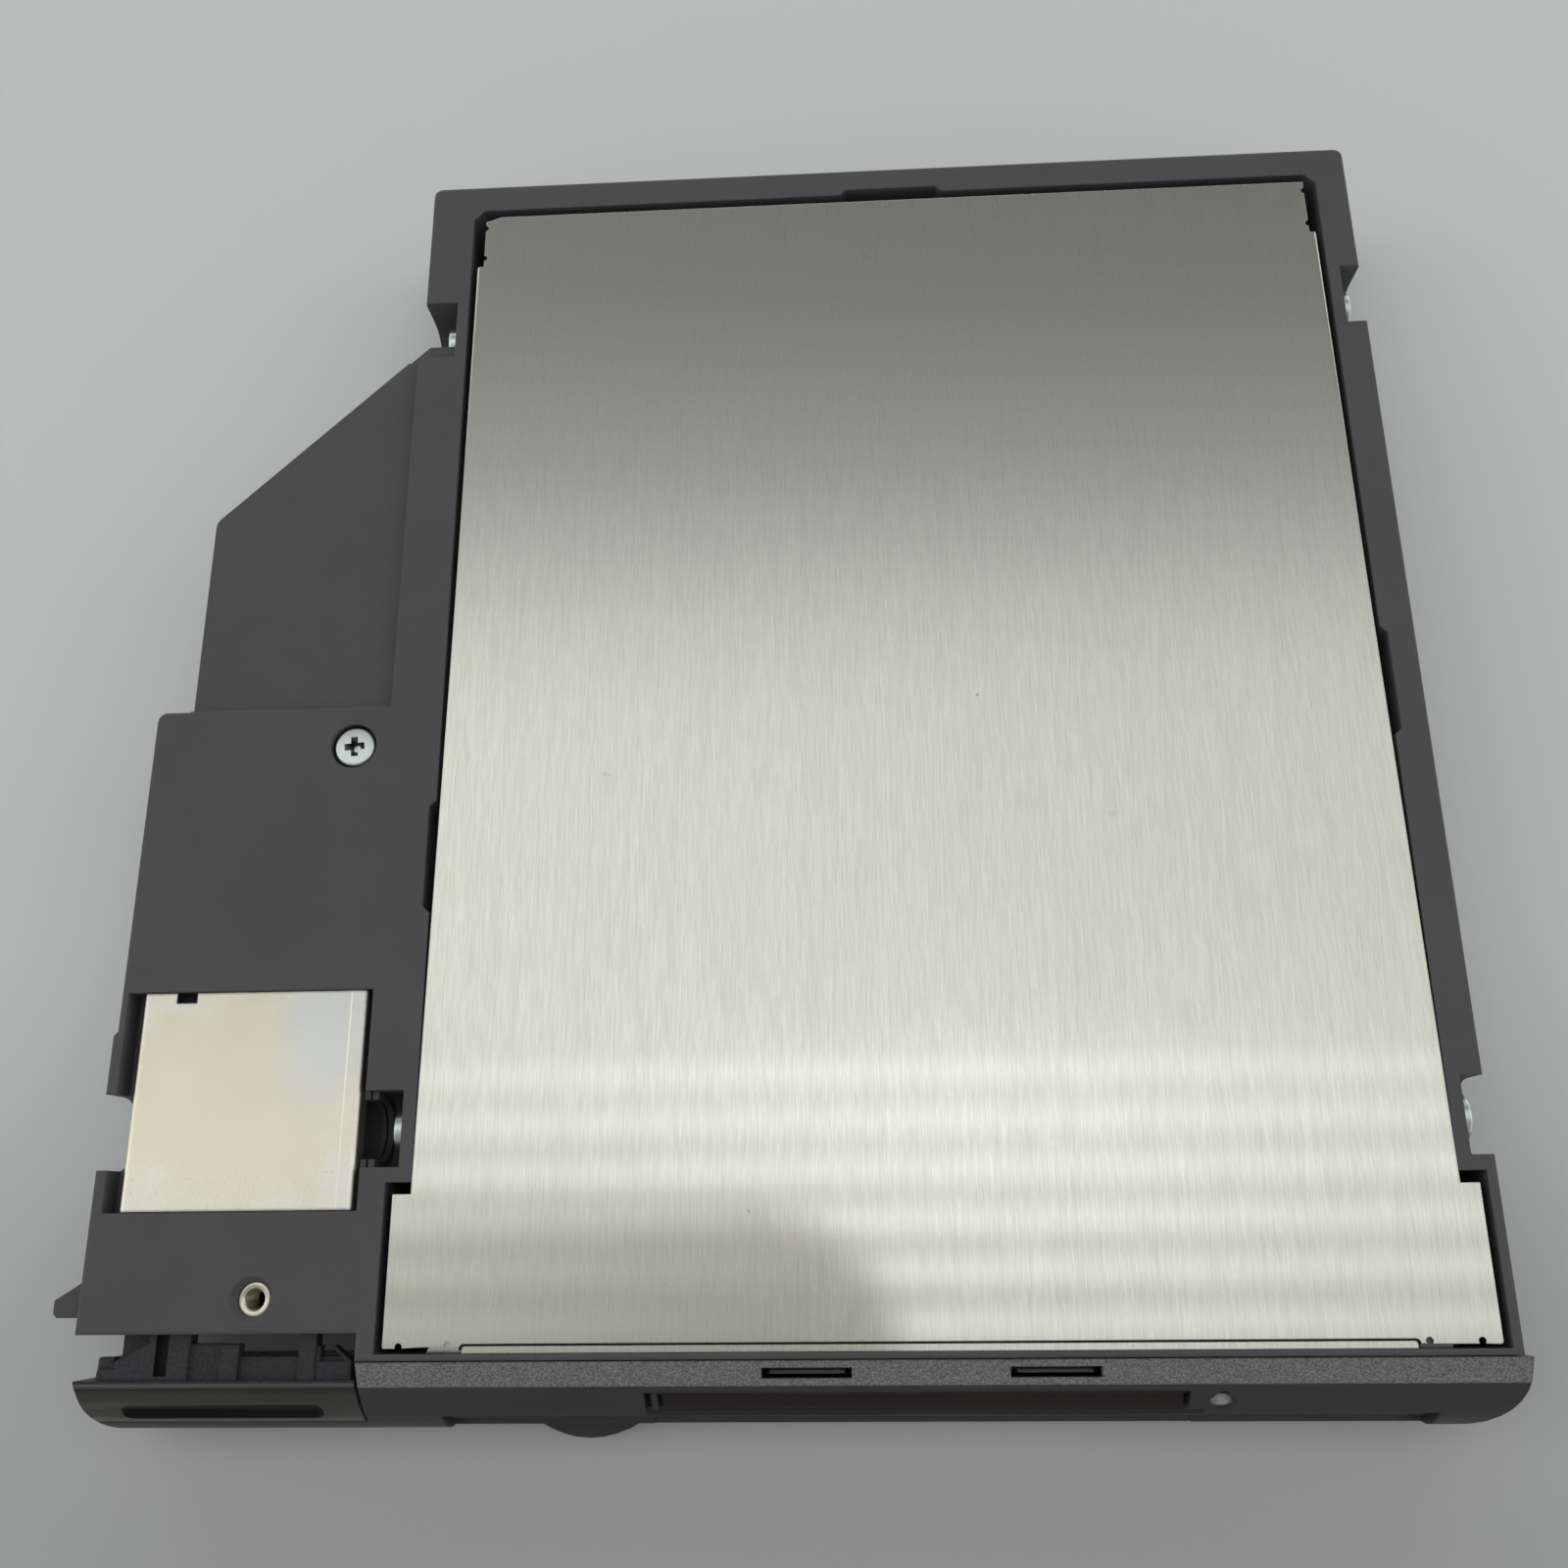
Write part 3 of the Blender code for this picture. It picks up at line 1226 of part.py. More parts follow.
def build_upper_arm():
    arm = extruded("upper_head_arm", [rounded([
        (-0.0022, head_y - 0.0025), (0.0022, head_y - 0.0025), (0.0050, head_y + 0.0080),
        (0.0050, arm_pivot_y + 0.0013), (-0.0050, arm_pivot_y + 0.0013),
        (-0.0050, head_y + 0.0080)])], arm_low, arm_low + arm_sheet, zinc_steel)
    cut(arm, extruded("arm_window", [[(-0.0018, head_y + 0.0060), (0.0018, head_y + 0.0060),
                                      (0.0030, head_y + 0.0180), (-0.0030, head_y + 0.0180)]],
                      0.0, 0.01))
    box("upper_head", (-head_size / 2, head_size / 2), (head_y - head_size / 2,
                                                        head_y + head_size / 2),
        (arm_low + arm_sheet + 0.0001, arm_low + arm_sheet + 0.0007), white_plastic)
    return set_origin(arm, (0, arm_pivot_y, arm_low + arm_sheet))


def build_head_drive():
    rod_front = rail_front - 0.0009
    rod_rear = chassis_rear - 0.0014
    cylinder("guide_rod", (rod_x, (rod_front + rod_rear) / 2, rail_z), rod_radius,
             rod_rear - rod_front, "Y", spring_steel, 16)
    body = box("stepper_motor", (screw_x - stepper_half, screw_x + stepper_half),
               (stepper_y, stepper_y + stepper_length), (rail_z - 0.0026, rail_z + 0.0026),
               zinc_steel)
    cut(body, cylinder("rotor_bore", (screw_x, stepper_y, rail_z), lead_radius + gap, 0.012, "Y",
                       sides=16))
    lead_front = rail_front - 0.0009
    lead_rear = stepper_y + 0.0050
    lead = cylinder("lead_screw", (screw_x, (lead_front + lead_rear) / 2, rail_z), lead_radius,
                    lead_rear - lead_front, "Y", spring_steel, 16)
    set_origin(lead, (screw_x, stepper_y, rail_z))


# Boards, cable and docking connector
def build_boards():
    half = chassis_half - board_margin
    rear = chassis_rear - 0.0025
    board = box("drive_board", (-half, half), (board_front, rear),
                (board_low, board_low + board_sheet), board_green)
    opening = motor_base_half + gap
    cut(board, box("motor_opening", (-opening, opening), (spindle_y - opening, spindle_y + opening),
                   (0.01, 0.015)))
    cut(board, box("carriage_opening", (screw_x - 0.0080, rod_x + 0.0040),
                   (head_y - head_travel - 0.0010, rear + 0.001), (0.01, 0.015)))
    chip = extruded("controller_chip", [rounded([
        (0.0260, 0.0780, 0.0004), (0.0380, 0.0780, 0.0004), (0.0380, 0.0900, 0.0004),
        (0.0260, 0.0900, 0.0004)], 2)], board_low + board_sheet + 0.0001, plate_low - gap / 2,
        black_plastic)
    dock_right = min(chassis_half - 0.00065, dock_x + dock_half + dock_board_margin - 0.0040)
    dock_board = box("dock_board", (dock_x - dock_half - 0.0140, dock_right),
                     (chassis_rear + 0.0010, plate_depth - 0.0002),
                     (dock_board_low, dock_board_low + board_sheet), board_green)
    high = board_low + board_sheet + 0.0001
    low = dock_board_low + board_sheet + 0.0001
    sheet = 0.0002
    bend = chassis_rear + 0.0002
    start = chassis_rear - 0.0110
    end = chassis_rear + 0.0070
    cable = [(start, high), (bend, high), (bend + 0.0022, low), (end, low), (end, low + sheet),
             (bend + 0.0023, low + sheet), (bend + 0.0001, high + sheet), (start, high + sheet)]
    extruded("flat_cable", [cable], 0.0190, 0.0440, white_plastic, "X")
    return board, chip, dock_board


def build_dock_connector():
    body = box("dock_connector", (dock_x - dock_half, dock_x + dock_half),
               (rear_edge - 0.0004 - dock_depth, rear_edge - 0.0004), (dock_low, dock_high),
               black_plastic)
    cut(body, box("mouth", (dock_x - dock_half + 0.0012, dock_x + dock_half - 0.0012),
                  (rear_edge - 0.0060, rear_edge + 0.001), (dock_low + 0.0008, dock_high - 0.0008)))
    join(body, box("tongue", (dock_x - dock_half + 0.0025, dock_x + dock_half - 0.0025),
                   (rear_edge - 0.0065, rear_edge - 0.0016),
                   ((dock_low + dock_high) / 2 - 0.0005, (dock_low + dock_high) / 2 + 0.0005)))
    # Contact comb: a bar along the tongue's root with one finger for each contact
    pitch = (2 * dock_half - 0.0070) / (dock_contacts - 1)
    start = dock_x - dock_half + 0.0035
    root = rear_edge - 0.0052
    outline = [(start + pitch * (dock_contacts - 0.5), root - 0.0006),
               (start + pitch * (dock_contacts - 0.5), root)]
    for number in reversed(range(dock_contacts)):
        x = start + number * pitch
        outline += [(x + pitch * 0.3, root), (x + pitch * 0.3, root + 0.0030),
                    (x - pitch * 0.3, root + 0.0030), (x - pitch * 0.3, root)]
    outline += [(start - pitch / 2, root), (start - pitch / 2, root - 0.0006)]
    comb_low = (dock_low + dock_high) / 2 + 0.0006
    comb = extruded("dock_contacts", [outline], comb_low, comb_low + 0.0002, gold_plate)
    return body, comb


def main():
    build_carrier_frame()
    build_lower_cover()
    build_wing_screw()
    build_threaded_insert()
    build_shield()
    build_cover_plate()
    build_side_screws()
    bezel = build_bezel()
    finish_bezel(bezel)
    build_slot_door()
    build_eject_button()
    build_lamp_lens()
    build_release_lever()
    build_latch_hook()
    build_latch_spring()
    build_drive_chassis()
    build_drive_cover()
    build_disk_cage()
    build_shutter_lever()
    build_eject_slider()
    build_spindle()
    build_head_carriage()
    build_upper_arm()
    build_head_drive()
    build_boards()
    build_dock_connector()

    # One parent carries every solid, so that the origin lies under the module's middle
    anchor = bpy.data.objects.new("module_origin", None)
    anchor.location = (-origin_x, -origin_y, 0.0)
    bpy.context.scene.collection.objects.link(anchor)
    for item in list(parts.objects) + list(cutters.objects):
        item.parent = anchor


main()
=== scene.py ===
import math

import bmesh
import bpy
from mathutils import Matrix, Vector


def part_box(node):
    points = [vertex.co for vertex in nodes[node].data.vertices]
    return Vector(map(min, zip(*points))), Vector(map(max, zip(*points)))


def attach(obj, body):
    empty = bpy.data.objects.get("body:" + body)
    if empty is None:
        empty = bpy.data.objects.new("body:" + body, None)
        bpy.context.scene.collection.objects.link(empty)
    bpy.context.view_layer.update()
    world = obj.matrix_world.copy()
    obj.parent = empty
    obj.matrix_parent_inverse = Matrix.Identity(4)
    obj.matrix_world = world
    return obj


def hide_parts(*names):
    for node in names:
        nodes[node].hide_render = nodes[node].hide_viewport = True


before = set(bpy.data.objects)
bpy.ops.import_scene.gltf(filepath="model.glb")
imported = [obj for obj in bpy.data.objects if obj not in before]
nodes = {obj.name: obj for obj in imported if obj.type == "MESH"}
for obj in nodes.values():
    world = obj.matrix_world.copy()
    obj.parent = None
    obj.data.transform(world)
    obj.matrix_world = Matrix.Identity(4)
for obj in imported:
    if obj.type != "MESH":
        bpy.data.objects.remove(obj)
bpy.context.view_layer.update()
print("frame loaded,", len(nodes), "nodes")

# Places are written in millimetres from the drive's centre line, the cover plate's front edge and
# the face that the module rests on, as in the part's source
moduleOrigin = (0.01555, -0.059215)


def at(x, y, z):
    return Vector((x / 1000 + moduleOrigin[0], y / 1000 + moduleOrigin[1], z / 1000))


# node helpers; a value is another node's socket, a number or a colour
def plug(tree, socket, value):
    if isinstance(value, bpy.types.NodeSocket):
        tree.links.new(value, socket)
    elif isinstance(value, tuple):
        socket.default_value = (*value, 1.0)
    else:
        socket.default_value = value


def addNode(tree, kind, inputs=None, **settings):
    node = tree.nodes.new(kind)
    for key, value in settings.items():
        setattr(node, key, value)
    for key, value in (inputs or {}).items():
        plug(tree, node.inputs[key], value)
    return node


def mathNode(tree, operation, *values, clamp=False):
    return addNode(tree, "ShaderNodeMath", dict(enumerate(values)), operation=operation,
                   use_clamp=clamp).outputs[0]


def rangeNode(tree, value, low, high, toLow=0.0, toHigh=1.0, smooth=False):
    return addNode(tree, "ShaderNodeMapRange", {
        "Value": value, "From Min": low, "From Max": high, "To Min": toLow, "To Max": toHigh},
        interpolation_type="SMOOTHSTEP" if smooth else "LINEAR").outputs[0]


def mixColor(tree, factor, first, second, blend="MIX"):
    return addNode(tree, "ShaderNodeMix", {0: factor, 6: first, 7: second}, data_type="RGBA",
                   blend_type=blend).outputs[2]


def scaleVector(tree, vector, factor):
    return addNode(tree, "ShaderNodeVectorMath", {0: vector, 3: factor},
                   operation="SCALE").outputs[0]


def splitVector(tree, vector):
    return addNode(tree, "ShaderNodeSeparateXYZ", {0: vector}).outputs


def distance(tree, *parts):
    squares = [mathNode(tree, "MULTIPLY", part, part) for part in parts]
    return mathNode(tree, "SQRT", mathNode(tree, "ADD", *squares))


# a grey ramp through (place, level) stops
def levelRamp(tree, value, levels):
    first, last = levels[0][0], levels[-1][0]
    most = max(level for _, level in levels)
    ramp = addNode(tree, "ShaderNodeValToRGB", {0: rangeNode(tree, value, first, last)})
    stops = ramp.color_ramp.elements
    while len(stops) < len(levels):
        stops.new(0.5)
    for stop, (place, level) in zip(stops, levels):
        stop.position = (place - first) / (last - first)
        stop.color = (level / most, level / most, level / most, 1.0)
    return scaleVector(tree, ramp.outputs[0], most)


def newGroup(name, inputs, outputs):
    group = bpy.data.node_groups.new(name, "ShaderNodeTree")
    for key, value in inputs.items():
        socket = group.interface.new_socket(key, in_out="INPUT", socket_type="NodeSocketFloat")
        socket.default_value = value
    for key, kind in outputs.items():
        group.interface.new_socket(key, in_out="OUTPUT", socket_type=kind)
    start = group.nodes.new("NodeGroupInput")
    end = group.nodes.new("NodeGroupOutput")
    return group, start, end


def useGroup(tree, group, **values):
    return addNode(tree, "ShaderNodeGroup", values, node_tree=group).outputs


def objectMillimetres(tree):
    return scaleVector(tree, addNode(tree, "ShaderNodeTexCoord").outputs["Object"], 1000.0)


# shared effects
def makeSoftEdge():
    group, start, end = newGroup("softEdge", {"Radius": 0.0002, "Gain": 6.0},
                                 {"Normal": "NodeSocketVector", "Edge": "NodeSocketFloat"})
    bevel = addNode(group, "ShaderNodeBevel", {"Radius": start.outputs["Radius"]}, samples=3)
    flat = addNode(group, "ShaderNodeNewGeometry").outputs["True Normal"]
    turn = addNode(group, "ShaderNodeVectorMath", {0: bevel.outputs[0], 1: flat},
                   operation="DOT_PRODUCT").outputs["Value"]
    lost = mathNode(group, "SUBTRACT", 1.0, turn)
    edge = mathNode(group, "MULTIPLY", lost, start.outputs["Gain"], clamp=True)
    group.links.new(bevel.outputs[0], end.inputs["Normal"])
    group.links.new(edge, end.inputs["Edge"])
    return group


def makeMouldGrain():
    group, start, end = newGroup("mouldGrain", {"Size": 0.18, "Clouds": 9.0},
                                 {"Height": "NodeSocketFloat", "Shade": "NodeSocketFloat"})
    place = objectMillimetres(group)
    fine = mathNode(group, "DIVIDE", 1.0, start.outputs["Size"])
    grain = addNode(group, "ShaderNodeTexNoise", {
        "Vector": place, "Scale": fine, "Detail": 2.0, "Roughness": 0.6}).outputs[0]
    pits = addNode(group, "ShaderNodeTexVoronoi", {"Vector": place, "Scale": fine},
                   feature="SMOOTH_F1").outputs["Distance"]
    wide = mathNode(group, "DIVIDE", 1.0, start.outputs["Clouds"])
    clouds = addNode(group, "ShaderNodeTexNoise", {
        "Vector": place, "Scale": wide, "Detail": 3.0, "Roughness": 0.55}).outputs[0]
    height = mathNode(group, "ADD", mathNode(group, "MULTIPLY", grain, 0.7),
                      mathNode(group, "MULTIPLY", pits, 0.5))
    shade = mathNode(group, "ADD", mathNode(group, "MULTIPLY", clouds, 0.6),
                     mathNode(group, "MULTIPLY", grain, 0.4))
    group.links.new(height, end.inputs["Height"])
    group.links.new(shade, end.inputs["Shade"])
    return group


def makeBrushStreaks():
    group, start, end = newGroup("brushStreaks", {"Width": 0.22, "Stretch": 22.0},
                                 {"Height": "NodeSocketFloat", "Shade": "NodeSocketFloat"})
    place = objectMillimetres(group)
    along = mathNode(group, "DIVIDE", 1.0, start.outputs["Stretch"])
    squeeze = addNode(group, "ShaderNodeCombineXYZ", {0: 1.0, 1: along, 2: 1.0}).outputs[0]
    drawn = addNode(group, "ShaderNodeVectorMath", {0: place, 1: squeeze},
                    operation="MULTIPLY").outputs[0]
    scale = mathNode(group, "DIVIDE", 1.0, start.outputs["Width"])
    fine = addNode(group, "ShaderNodeTexNoise", {
        "Vector": drawn, "Scale": scale, "Detail": 4.0, "Roughness": 0.65}).outputs[0]
    broad = addNode(group, "ShaderNodeTexNoise", {
        "Vector": drawn, "Scale": mathNode(group, "MULTIPLY", scale, 0.22), "Detail": 2.0,
        "Roughness": 0.5}).outputs[0]
    shade = mathNode(group, "ADD", mathNode(group, "MULTIPLY", fine, 0.8),
                     mathNode(group, "MULTIPLY", broad, 0.2))
    group.links.new(fine, end.inputs["Height"])
    group.links.new(shade, end.inputs["Shade"])
    return group


softEdge = makeSoftEdge()
mouldGrain = makeMouldGrain()
brushStreaks = makeBrushStreaks()

# the middle of a group's shade, over which a colour goes from dark to light
shadeSpan = (0.35, 0.65)


def newMaterial(name, roughness, metallic=0.0, **sockets):
    material = bpy.data.materials.new(name)
    material.use_nodes = True
    tree = material.node_tree
    shader = tree.nodes["Principled BSDF"]
    shader.inputs["Roughness"].default_value = roughness
    shader.inputs["Metallic"].default_value = metallic
    for key, value in sockets.items():
        shader.inputs[key.replace("_", " ")].default_value = value
    return material, tree, shader


def finishNormal(tree, shader, height, depth, radius):
    soft = useGroup(tree, softEdge, Radius=radius)
    bump = addNode(tree, "ShaderNodeBump", {
        "Height": height, "Strength": 1.0, "Distance": depth, "Normal": soft["Normal"]})
    tree.links.new(bump.outputs[0], shader.inputs["Normal"])
    return soft["Edge"]


def mouldedPlastic(name, dark, light, wearAndHighlight, roughness, grain=0.18, depth=0.00003, radius=0.0002,
                   gloss=0.3, recessShade=None):
    material, tree, shader = newMaterial(name, roughness, Specular_IOR_Level=gloss)
    texture = useGroup(tree, mouldGrain, Size=grain)
    edge = finishNormal(tree, shader, texture["Height"], depth, radius)
    shade = rangeNode(tree, texture["Shade"], *shadeSpan)
    color = mixColor(tree, shade, dark, light)
    # lighter edges: partly wear, partly a painted highlight on their rounding
    color = mixColor(tree, mathNode(tree, "MULTIPLY", edge, 0.5), color, wearAndHighlight)
    # painted shade: the colour goes dark inside the recess box, where shade falls
    if recessShade:
        x, y, z = splitVector(tree, objectMillimetres(tree))
        inside = 1.0
        for value, low, high in zip((x, y, z), *recessShade["box"]):
            for bound, sign in ((low, 1.0), (high, -1.0)):
                past = mathNode(tree, "MULTIPLY", mathNode(tree, "SUBTRACT", value, bound), sign)
                inside = mathNode(tree, "MULTIPLY", inside, rangeNode(
                    tree, past, 0.0, recessShade["soft"]))
        color = mixColor(tree, inside, color, recessShade["color"])
    tree.links.new(color, shader.inputs["Base Color"])
    rough = rangeNode(tree, texture["Shade"], 0.3, 0.7, roughness - 0.05, roughness + 0.05)
    tree.links.new(rough, shader.inputs["Roughness"])
    return material


# drawn along the drive, under a clear and smoother gloss
def brushedMetal(name, look):
    roughness = look["roughness"]
    material, tree, shader = newMaterial(
        name, roughness, 1.0, Anisotropic=look["anisotropic"], Coat_Weight=1.0,
        Coat_Roughness=look["coatRoughness"], Coat_IOR=look["coatIOR"])
    streaks = useGroup(tree, brushStreaks, Width=look["width"], Stretch=look["stretch"])
    finishNormal(tree, shader, streaks["Height"], look["depth"], look["radius"])
    tree.links.new(addNode(tree, "ShaderNodeCombineXYZ", {0: 1.0}).outputs[0],
                   shader.inputs["Tangent"])
    surface = mixColor(tree, rangeNode(tree, streaks["Shade"], *look["streakSpan"]),
                       look["dull"], look["color"])
    x, y, _ = splitVector(tree, objectMillimetres(tree))
    for left, rear, radius, depth in look["specks"]:
        reach = distance(tree, mathNode(tree, "SUBTRACT", x, left),
                         mathNode(tree, "SUBTRACT", y, rear))
        speck = rangeNode(tree, reach, radius, radius * look["speckCore"], 0.0, depth)
        surface = mixColor(tree, speck, surface, look["speckColor"])
    tree.links.new(surface, shader.inputs["Base Color"])
    rough = rangeNode(tree, streaks["Shade"], *shadeSpan, roughness + look["roughSwing"],
                      roughness - look["roughSwing"])
    tree.links.new(rough, shader.inputs["Roughness"])
    return material


def plainMetal(name, dark, light, roughness, size=0.6):
    material, tree, shader = newMaterial(name, roughness, 1.0)
    texture = useGroup(tree, mouldGrain, Size=size, Clouds=3.0)
    finishNormal(tree, shader, texture["Height"], 0.000004, 0.0001)
    shade = rangeNode(tree, texture["Shade"], *shadeSpan)
    tree.links.new(mixColor(tree, shade, dark, light), shader.inputs["Base Color"])
    return material


# places in the looks are world millimetres; the recess is a box of painted shade over the room
# behind the lever
carrierLook = {
    "dark": (0.071, 0.071, 0.075), "light": (0.083, 0.083, 0.088), "wearAndHighlight": (0.12, 0.12, 0.125),
    "roughness": 0.55, "grain": 0.16, "depth": 0.00002, "radius": 0.00025, "gloss": 0.2,
    "recessShade": {"box": ((-63.0, -63.5, -1.0), (-33.3, -50.0, 10.6)), "soft": 0.4,
               "color": (0.010, 0.009, 0.011)},
}
# each speck has its place, radius and depth of colour
plateLook = {
    "color": (0.565, 0.570, 0.485), "dull": (0.455, 0.460, 0.392), "roughness": 0.30,
    "roughSwing": 0.04, "anisotropic": 0.5, "coatRoughness": 0.055, "coatIOR": 2.6,
    "width": 0.15, "stretch": 24.0, "streakSpan": (0.36, 0.64), "depth": 0.0000006,
    "radius": 0.00012, "speckCore": 0.4, "speckColor": (0.05, 0.05, 0.045),
    "specks": ((22.66, 2.74, 0.22, 0.7), (-0.99, -47.88, 0.20, 0.5), (35.42, -10.27, 0.5, 0.12),
               (-15.70, -4.82, 0.3, 0.3), (-15.25, -4.95, 0.22, 0.25)),
}
# shades: heights in millimetres with factors of painted light and shade on the front's colour
bezelLook = {
    "dark": (0.022, 0.021, 0.0215), "light": (0.029, 0.0275, 0.028), "wearAndHighlight": (0.060, 0.058, 0.058),
    "roughness": 0.42, "gloss": 0.35, "bandStart": -63.065, "bandSoft": 0.08, "radius": 0.0003,
    "bandDark": (0.105, 0.105, 0.108), "bandLight": (0.262, 0.262, 0.268), "fleck": 0.20,
    "bandMetal": 0.35, "paintedLight": [(0.0, 1.8), (3.0, 1.35), (7.0, 1.0), (12.0, 0.92), (14.5, 1.0)],
}
leverLook = {
    "dark": (0.044, 0.043, 0.041), "light": (0.056, 0.055, 0.053), "wearAndHighlight": (0.12, 0.118, 0.114),
    "roughness": 0.40, "gloss": 0.12, "bandStart": -62.7, "bandSoft": 0.08, "radius": 0.0005,
    "bandDark": (0.038, 0.038, 0.042), "bandLight": (0.054, 0.054, 0.059), "fleck": 0.3,
    "bandMetal": 0.0, "paintedLight": [(9.0, 2.4), (9.6, 1.9), (9.9, 1.2), (12.2, 0.85), (12.85, 0.4),
                                 (13.1, 2.2), (13.3, 2.2)],
}
# painted shade in the groove under the fingers, with its half length and its soft edge's width
grooveShade = {"middle": -50.80, "half": 8.8, "height": 10.45, "radius": 0.95, "soft": 0.2,
              "color": (0.004, 0.003, 0.003)}


# Front with painted light and shade by height, and another finish behind bandStart: metallic flecks
# on the bezel, plain plastic on the lever
def frontPaint(name, look, groove=None):
    material, tree, shader = newMaterial(name, look["roughness"], Specular_IOR_Level=look["gloss"])
    texture = useGroup(tree, mouldGrain, Size=0.18)
    edge = finishNormal(tree, shader, texture["Height"], 0.000008, look["radius"])
    shade = rangeNode(tree, texture["Shade"], *shadeSpan)
    front = mixColor(tree, shade, look["dark"], look["light"])
    # lighter edges: partly wear, partly a painted highlight on their rounding
    front = mixColor(tree, mathNode(tree, "MULTIPLY", edge, 0.3), front, look["wearAndHighlight"])
    place = objectMillimetres(tree)
    x, y, z = splitVector(tree, place)
    # painted light and shade by height: lighter low down, and on the lever a painted highlight on
    # the top rim over a painted dark line
    front = mixColor(tree, 1.0, front, levelRamp(tree, z, look["paintedLight"]), "MULTIPLY")
    # painted shade in the finger groove
    if groove:
        off = mathNode(tree, "ABSOLUTE", mathNode(tree, "SUBTRACT", x, groove["middle"]))
        past = mathNode(tree, "MAXIMUM", mathNode(tree, "SUBTRACT", off, groove["half"]), 0.0)
        reach = distance(tree, past, mathNode(tree, "SUBTRACT", z, groove["height"]))
        inside = rangeNode(tree, reach, groove["radius"], groove["radius"] - groove["soft"],
                           smooth=True)
        front = mixColor(tree, inside, front, groove["color"])
    flecks = addNode(tree, "ShaderNodeTexNoise", {
        "Vector": place, "Scale": 1 / look["fleck"], "Detail": 2.0, "Roughness": 0.7}).outputs[0]
    band = mixColor(tree, rangeNode(tree, flecks, 0.38, 0.66), look["bandDark"], look["bandLight"])
    start, soft = look["bandStart"], look["bandSoft"]
    onBand = rangeNode(tree, y, start - soft, start + soft)
    tree.links.new(mixColor(tree, onBand, front, band), shader.inputs["Base Color"])
    tree.links.new(mathNode(tree, "MULTIPLY", onBand, look["bandMetal"]), shader.inputs["Metallic"])
    return material


# the sheet cap over the wing's pocket: a warm stain, a cool patch, rust specks, colour darker
# towards the rear, a painted highlight along the fold line
shieldLook = {
    "clean": (0.72, 0.715, 0.64), "stain": (0.725, 0.68, 0.545), "cool": (0.66, 0.68, 0.65),
    "shadeRear": 0.86, "shadeFront": 1.06, "shadeSpan": (-27.5, -44.0),
    "roughness": 0.36, "stainMiddle": (-51.6, -36.4), "stainHalf": (14.5, 10.6),
    "stainFade": (1.22, 0.70), "coolMiddle": (-42.8, -31.0), "coolHalf": (4.6, 7.5),
    "coolFade": (1.4, 0.3), "warp": 0.22, "rust": (0.42, 0.34, 0.22), "rustScale": 4.0,
    "rustFade": (0.60, 0.70), "rustSpan": (-39.0, -44.5), "rustMost": 0.45,
    "fold": -40.25, "foldWidth": 0.13, "foldHighlight": (0.84, 0.84, 0.74),
}


# distance from a middle in half widths, warped by a cloud value
def ovalReach(tree, x, y, middle, half, warp):
    parts = [mathNode(tree, "DIVIDE", mathNode(tree, "SUBTRACT", value, middle[axis]), half[axis])
             for axis, value in enumerate((x, y))]
    return mathNode(tree, "ADD", distance(tree, *parts), warp)


def shieldTin():
    look = shieldLook
    material, tree, shader = newMaterial("shieldTin", look["roughness"], 1.0)
    texture = useGroup(tree, mouldGrain, Size=0.3, Clouds=5.0)
    finishNormal(tree, shader, texture["Height"], 0.000002, 0.00035)
    place = objectMillimetres(tree)
    x, y, _ = splitVector(tree, place)
    warp = rangeNode(tree, texture["Shade"], *shadeSpan, -look["warp"], look["warp"])
    color = look["clean"]
    for patch in ("stain", "cool"):
        reach = ovalReach(tree, x, y, look[patch + "Middle"], look[patch + "Half"], warp)
        share = rangeNode(tree, reach, *look[patch + "Fade"], smooth=True)
        color = mixColor(tree, share, color, look[patch])
    specks = addNode(tree, "ShaderNodeTexNoise", {
        "Vector": place, "Scale": look["rustScale"], "Detail": 3.0, "Roughness": 0.7}).outputs[0]
    rust = mathNode(tree, "MULTIPLY", rangeNode(tree, specks, *look["rustFade"]),
                    rangeNode(tree, y, *look["rustSpan"], 0.0, look["rustMost"]))
    color = mixColor(tree, rust, color, look["rust"])
    color = scaleVector(tree, color, rangeNode(
        tree, y, *look["shadeSpan"], look["shadeRear"], look["shadeFront"]))
    # painted highlight along the fold
    away = mathNode(tree, "ABSOLUTE", mathNode(tree, "SUBTRACT", x, look["fold"]))
    color = mixColor(tree, rangeNode(tree, away, look["foldWidth"], 0.0, smooth=True), color,
                     look["foldHighlight"])
    tree.links.new(color, shader.inputs["Base Color"])
    tree.links.new(rangeNode(tree, texture["Shade"], 0.3, 0.7, look["roughness"] + 0.04,
                             look["roughness"] - 0.04), shader.inputs["Roughness"])
    return material


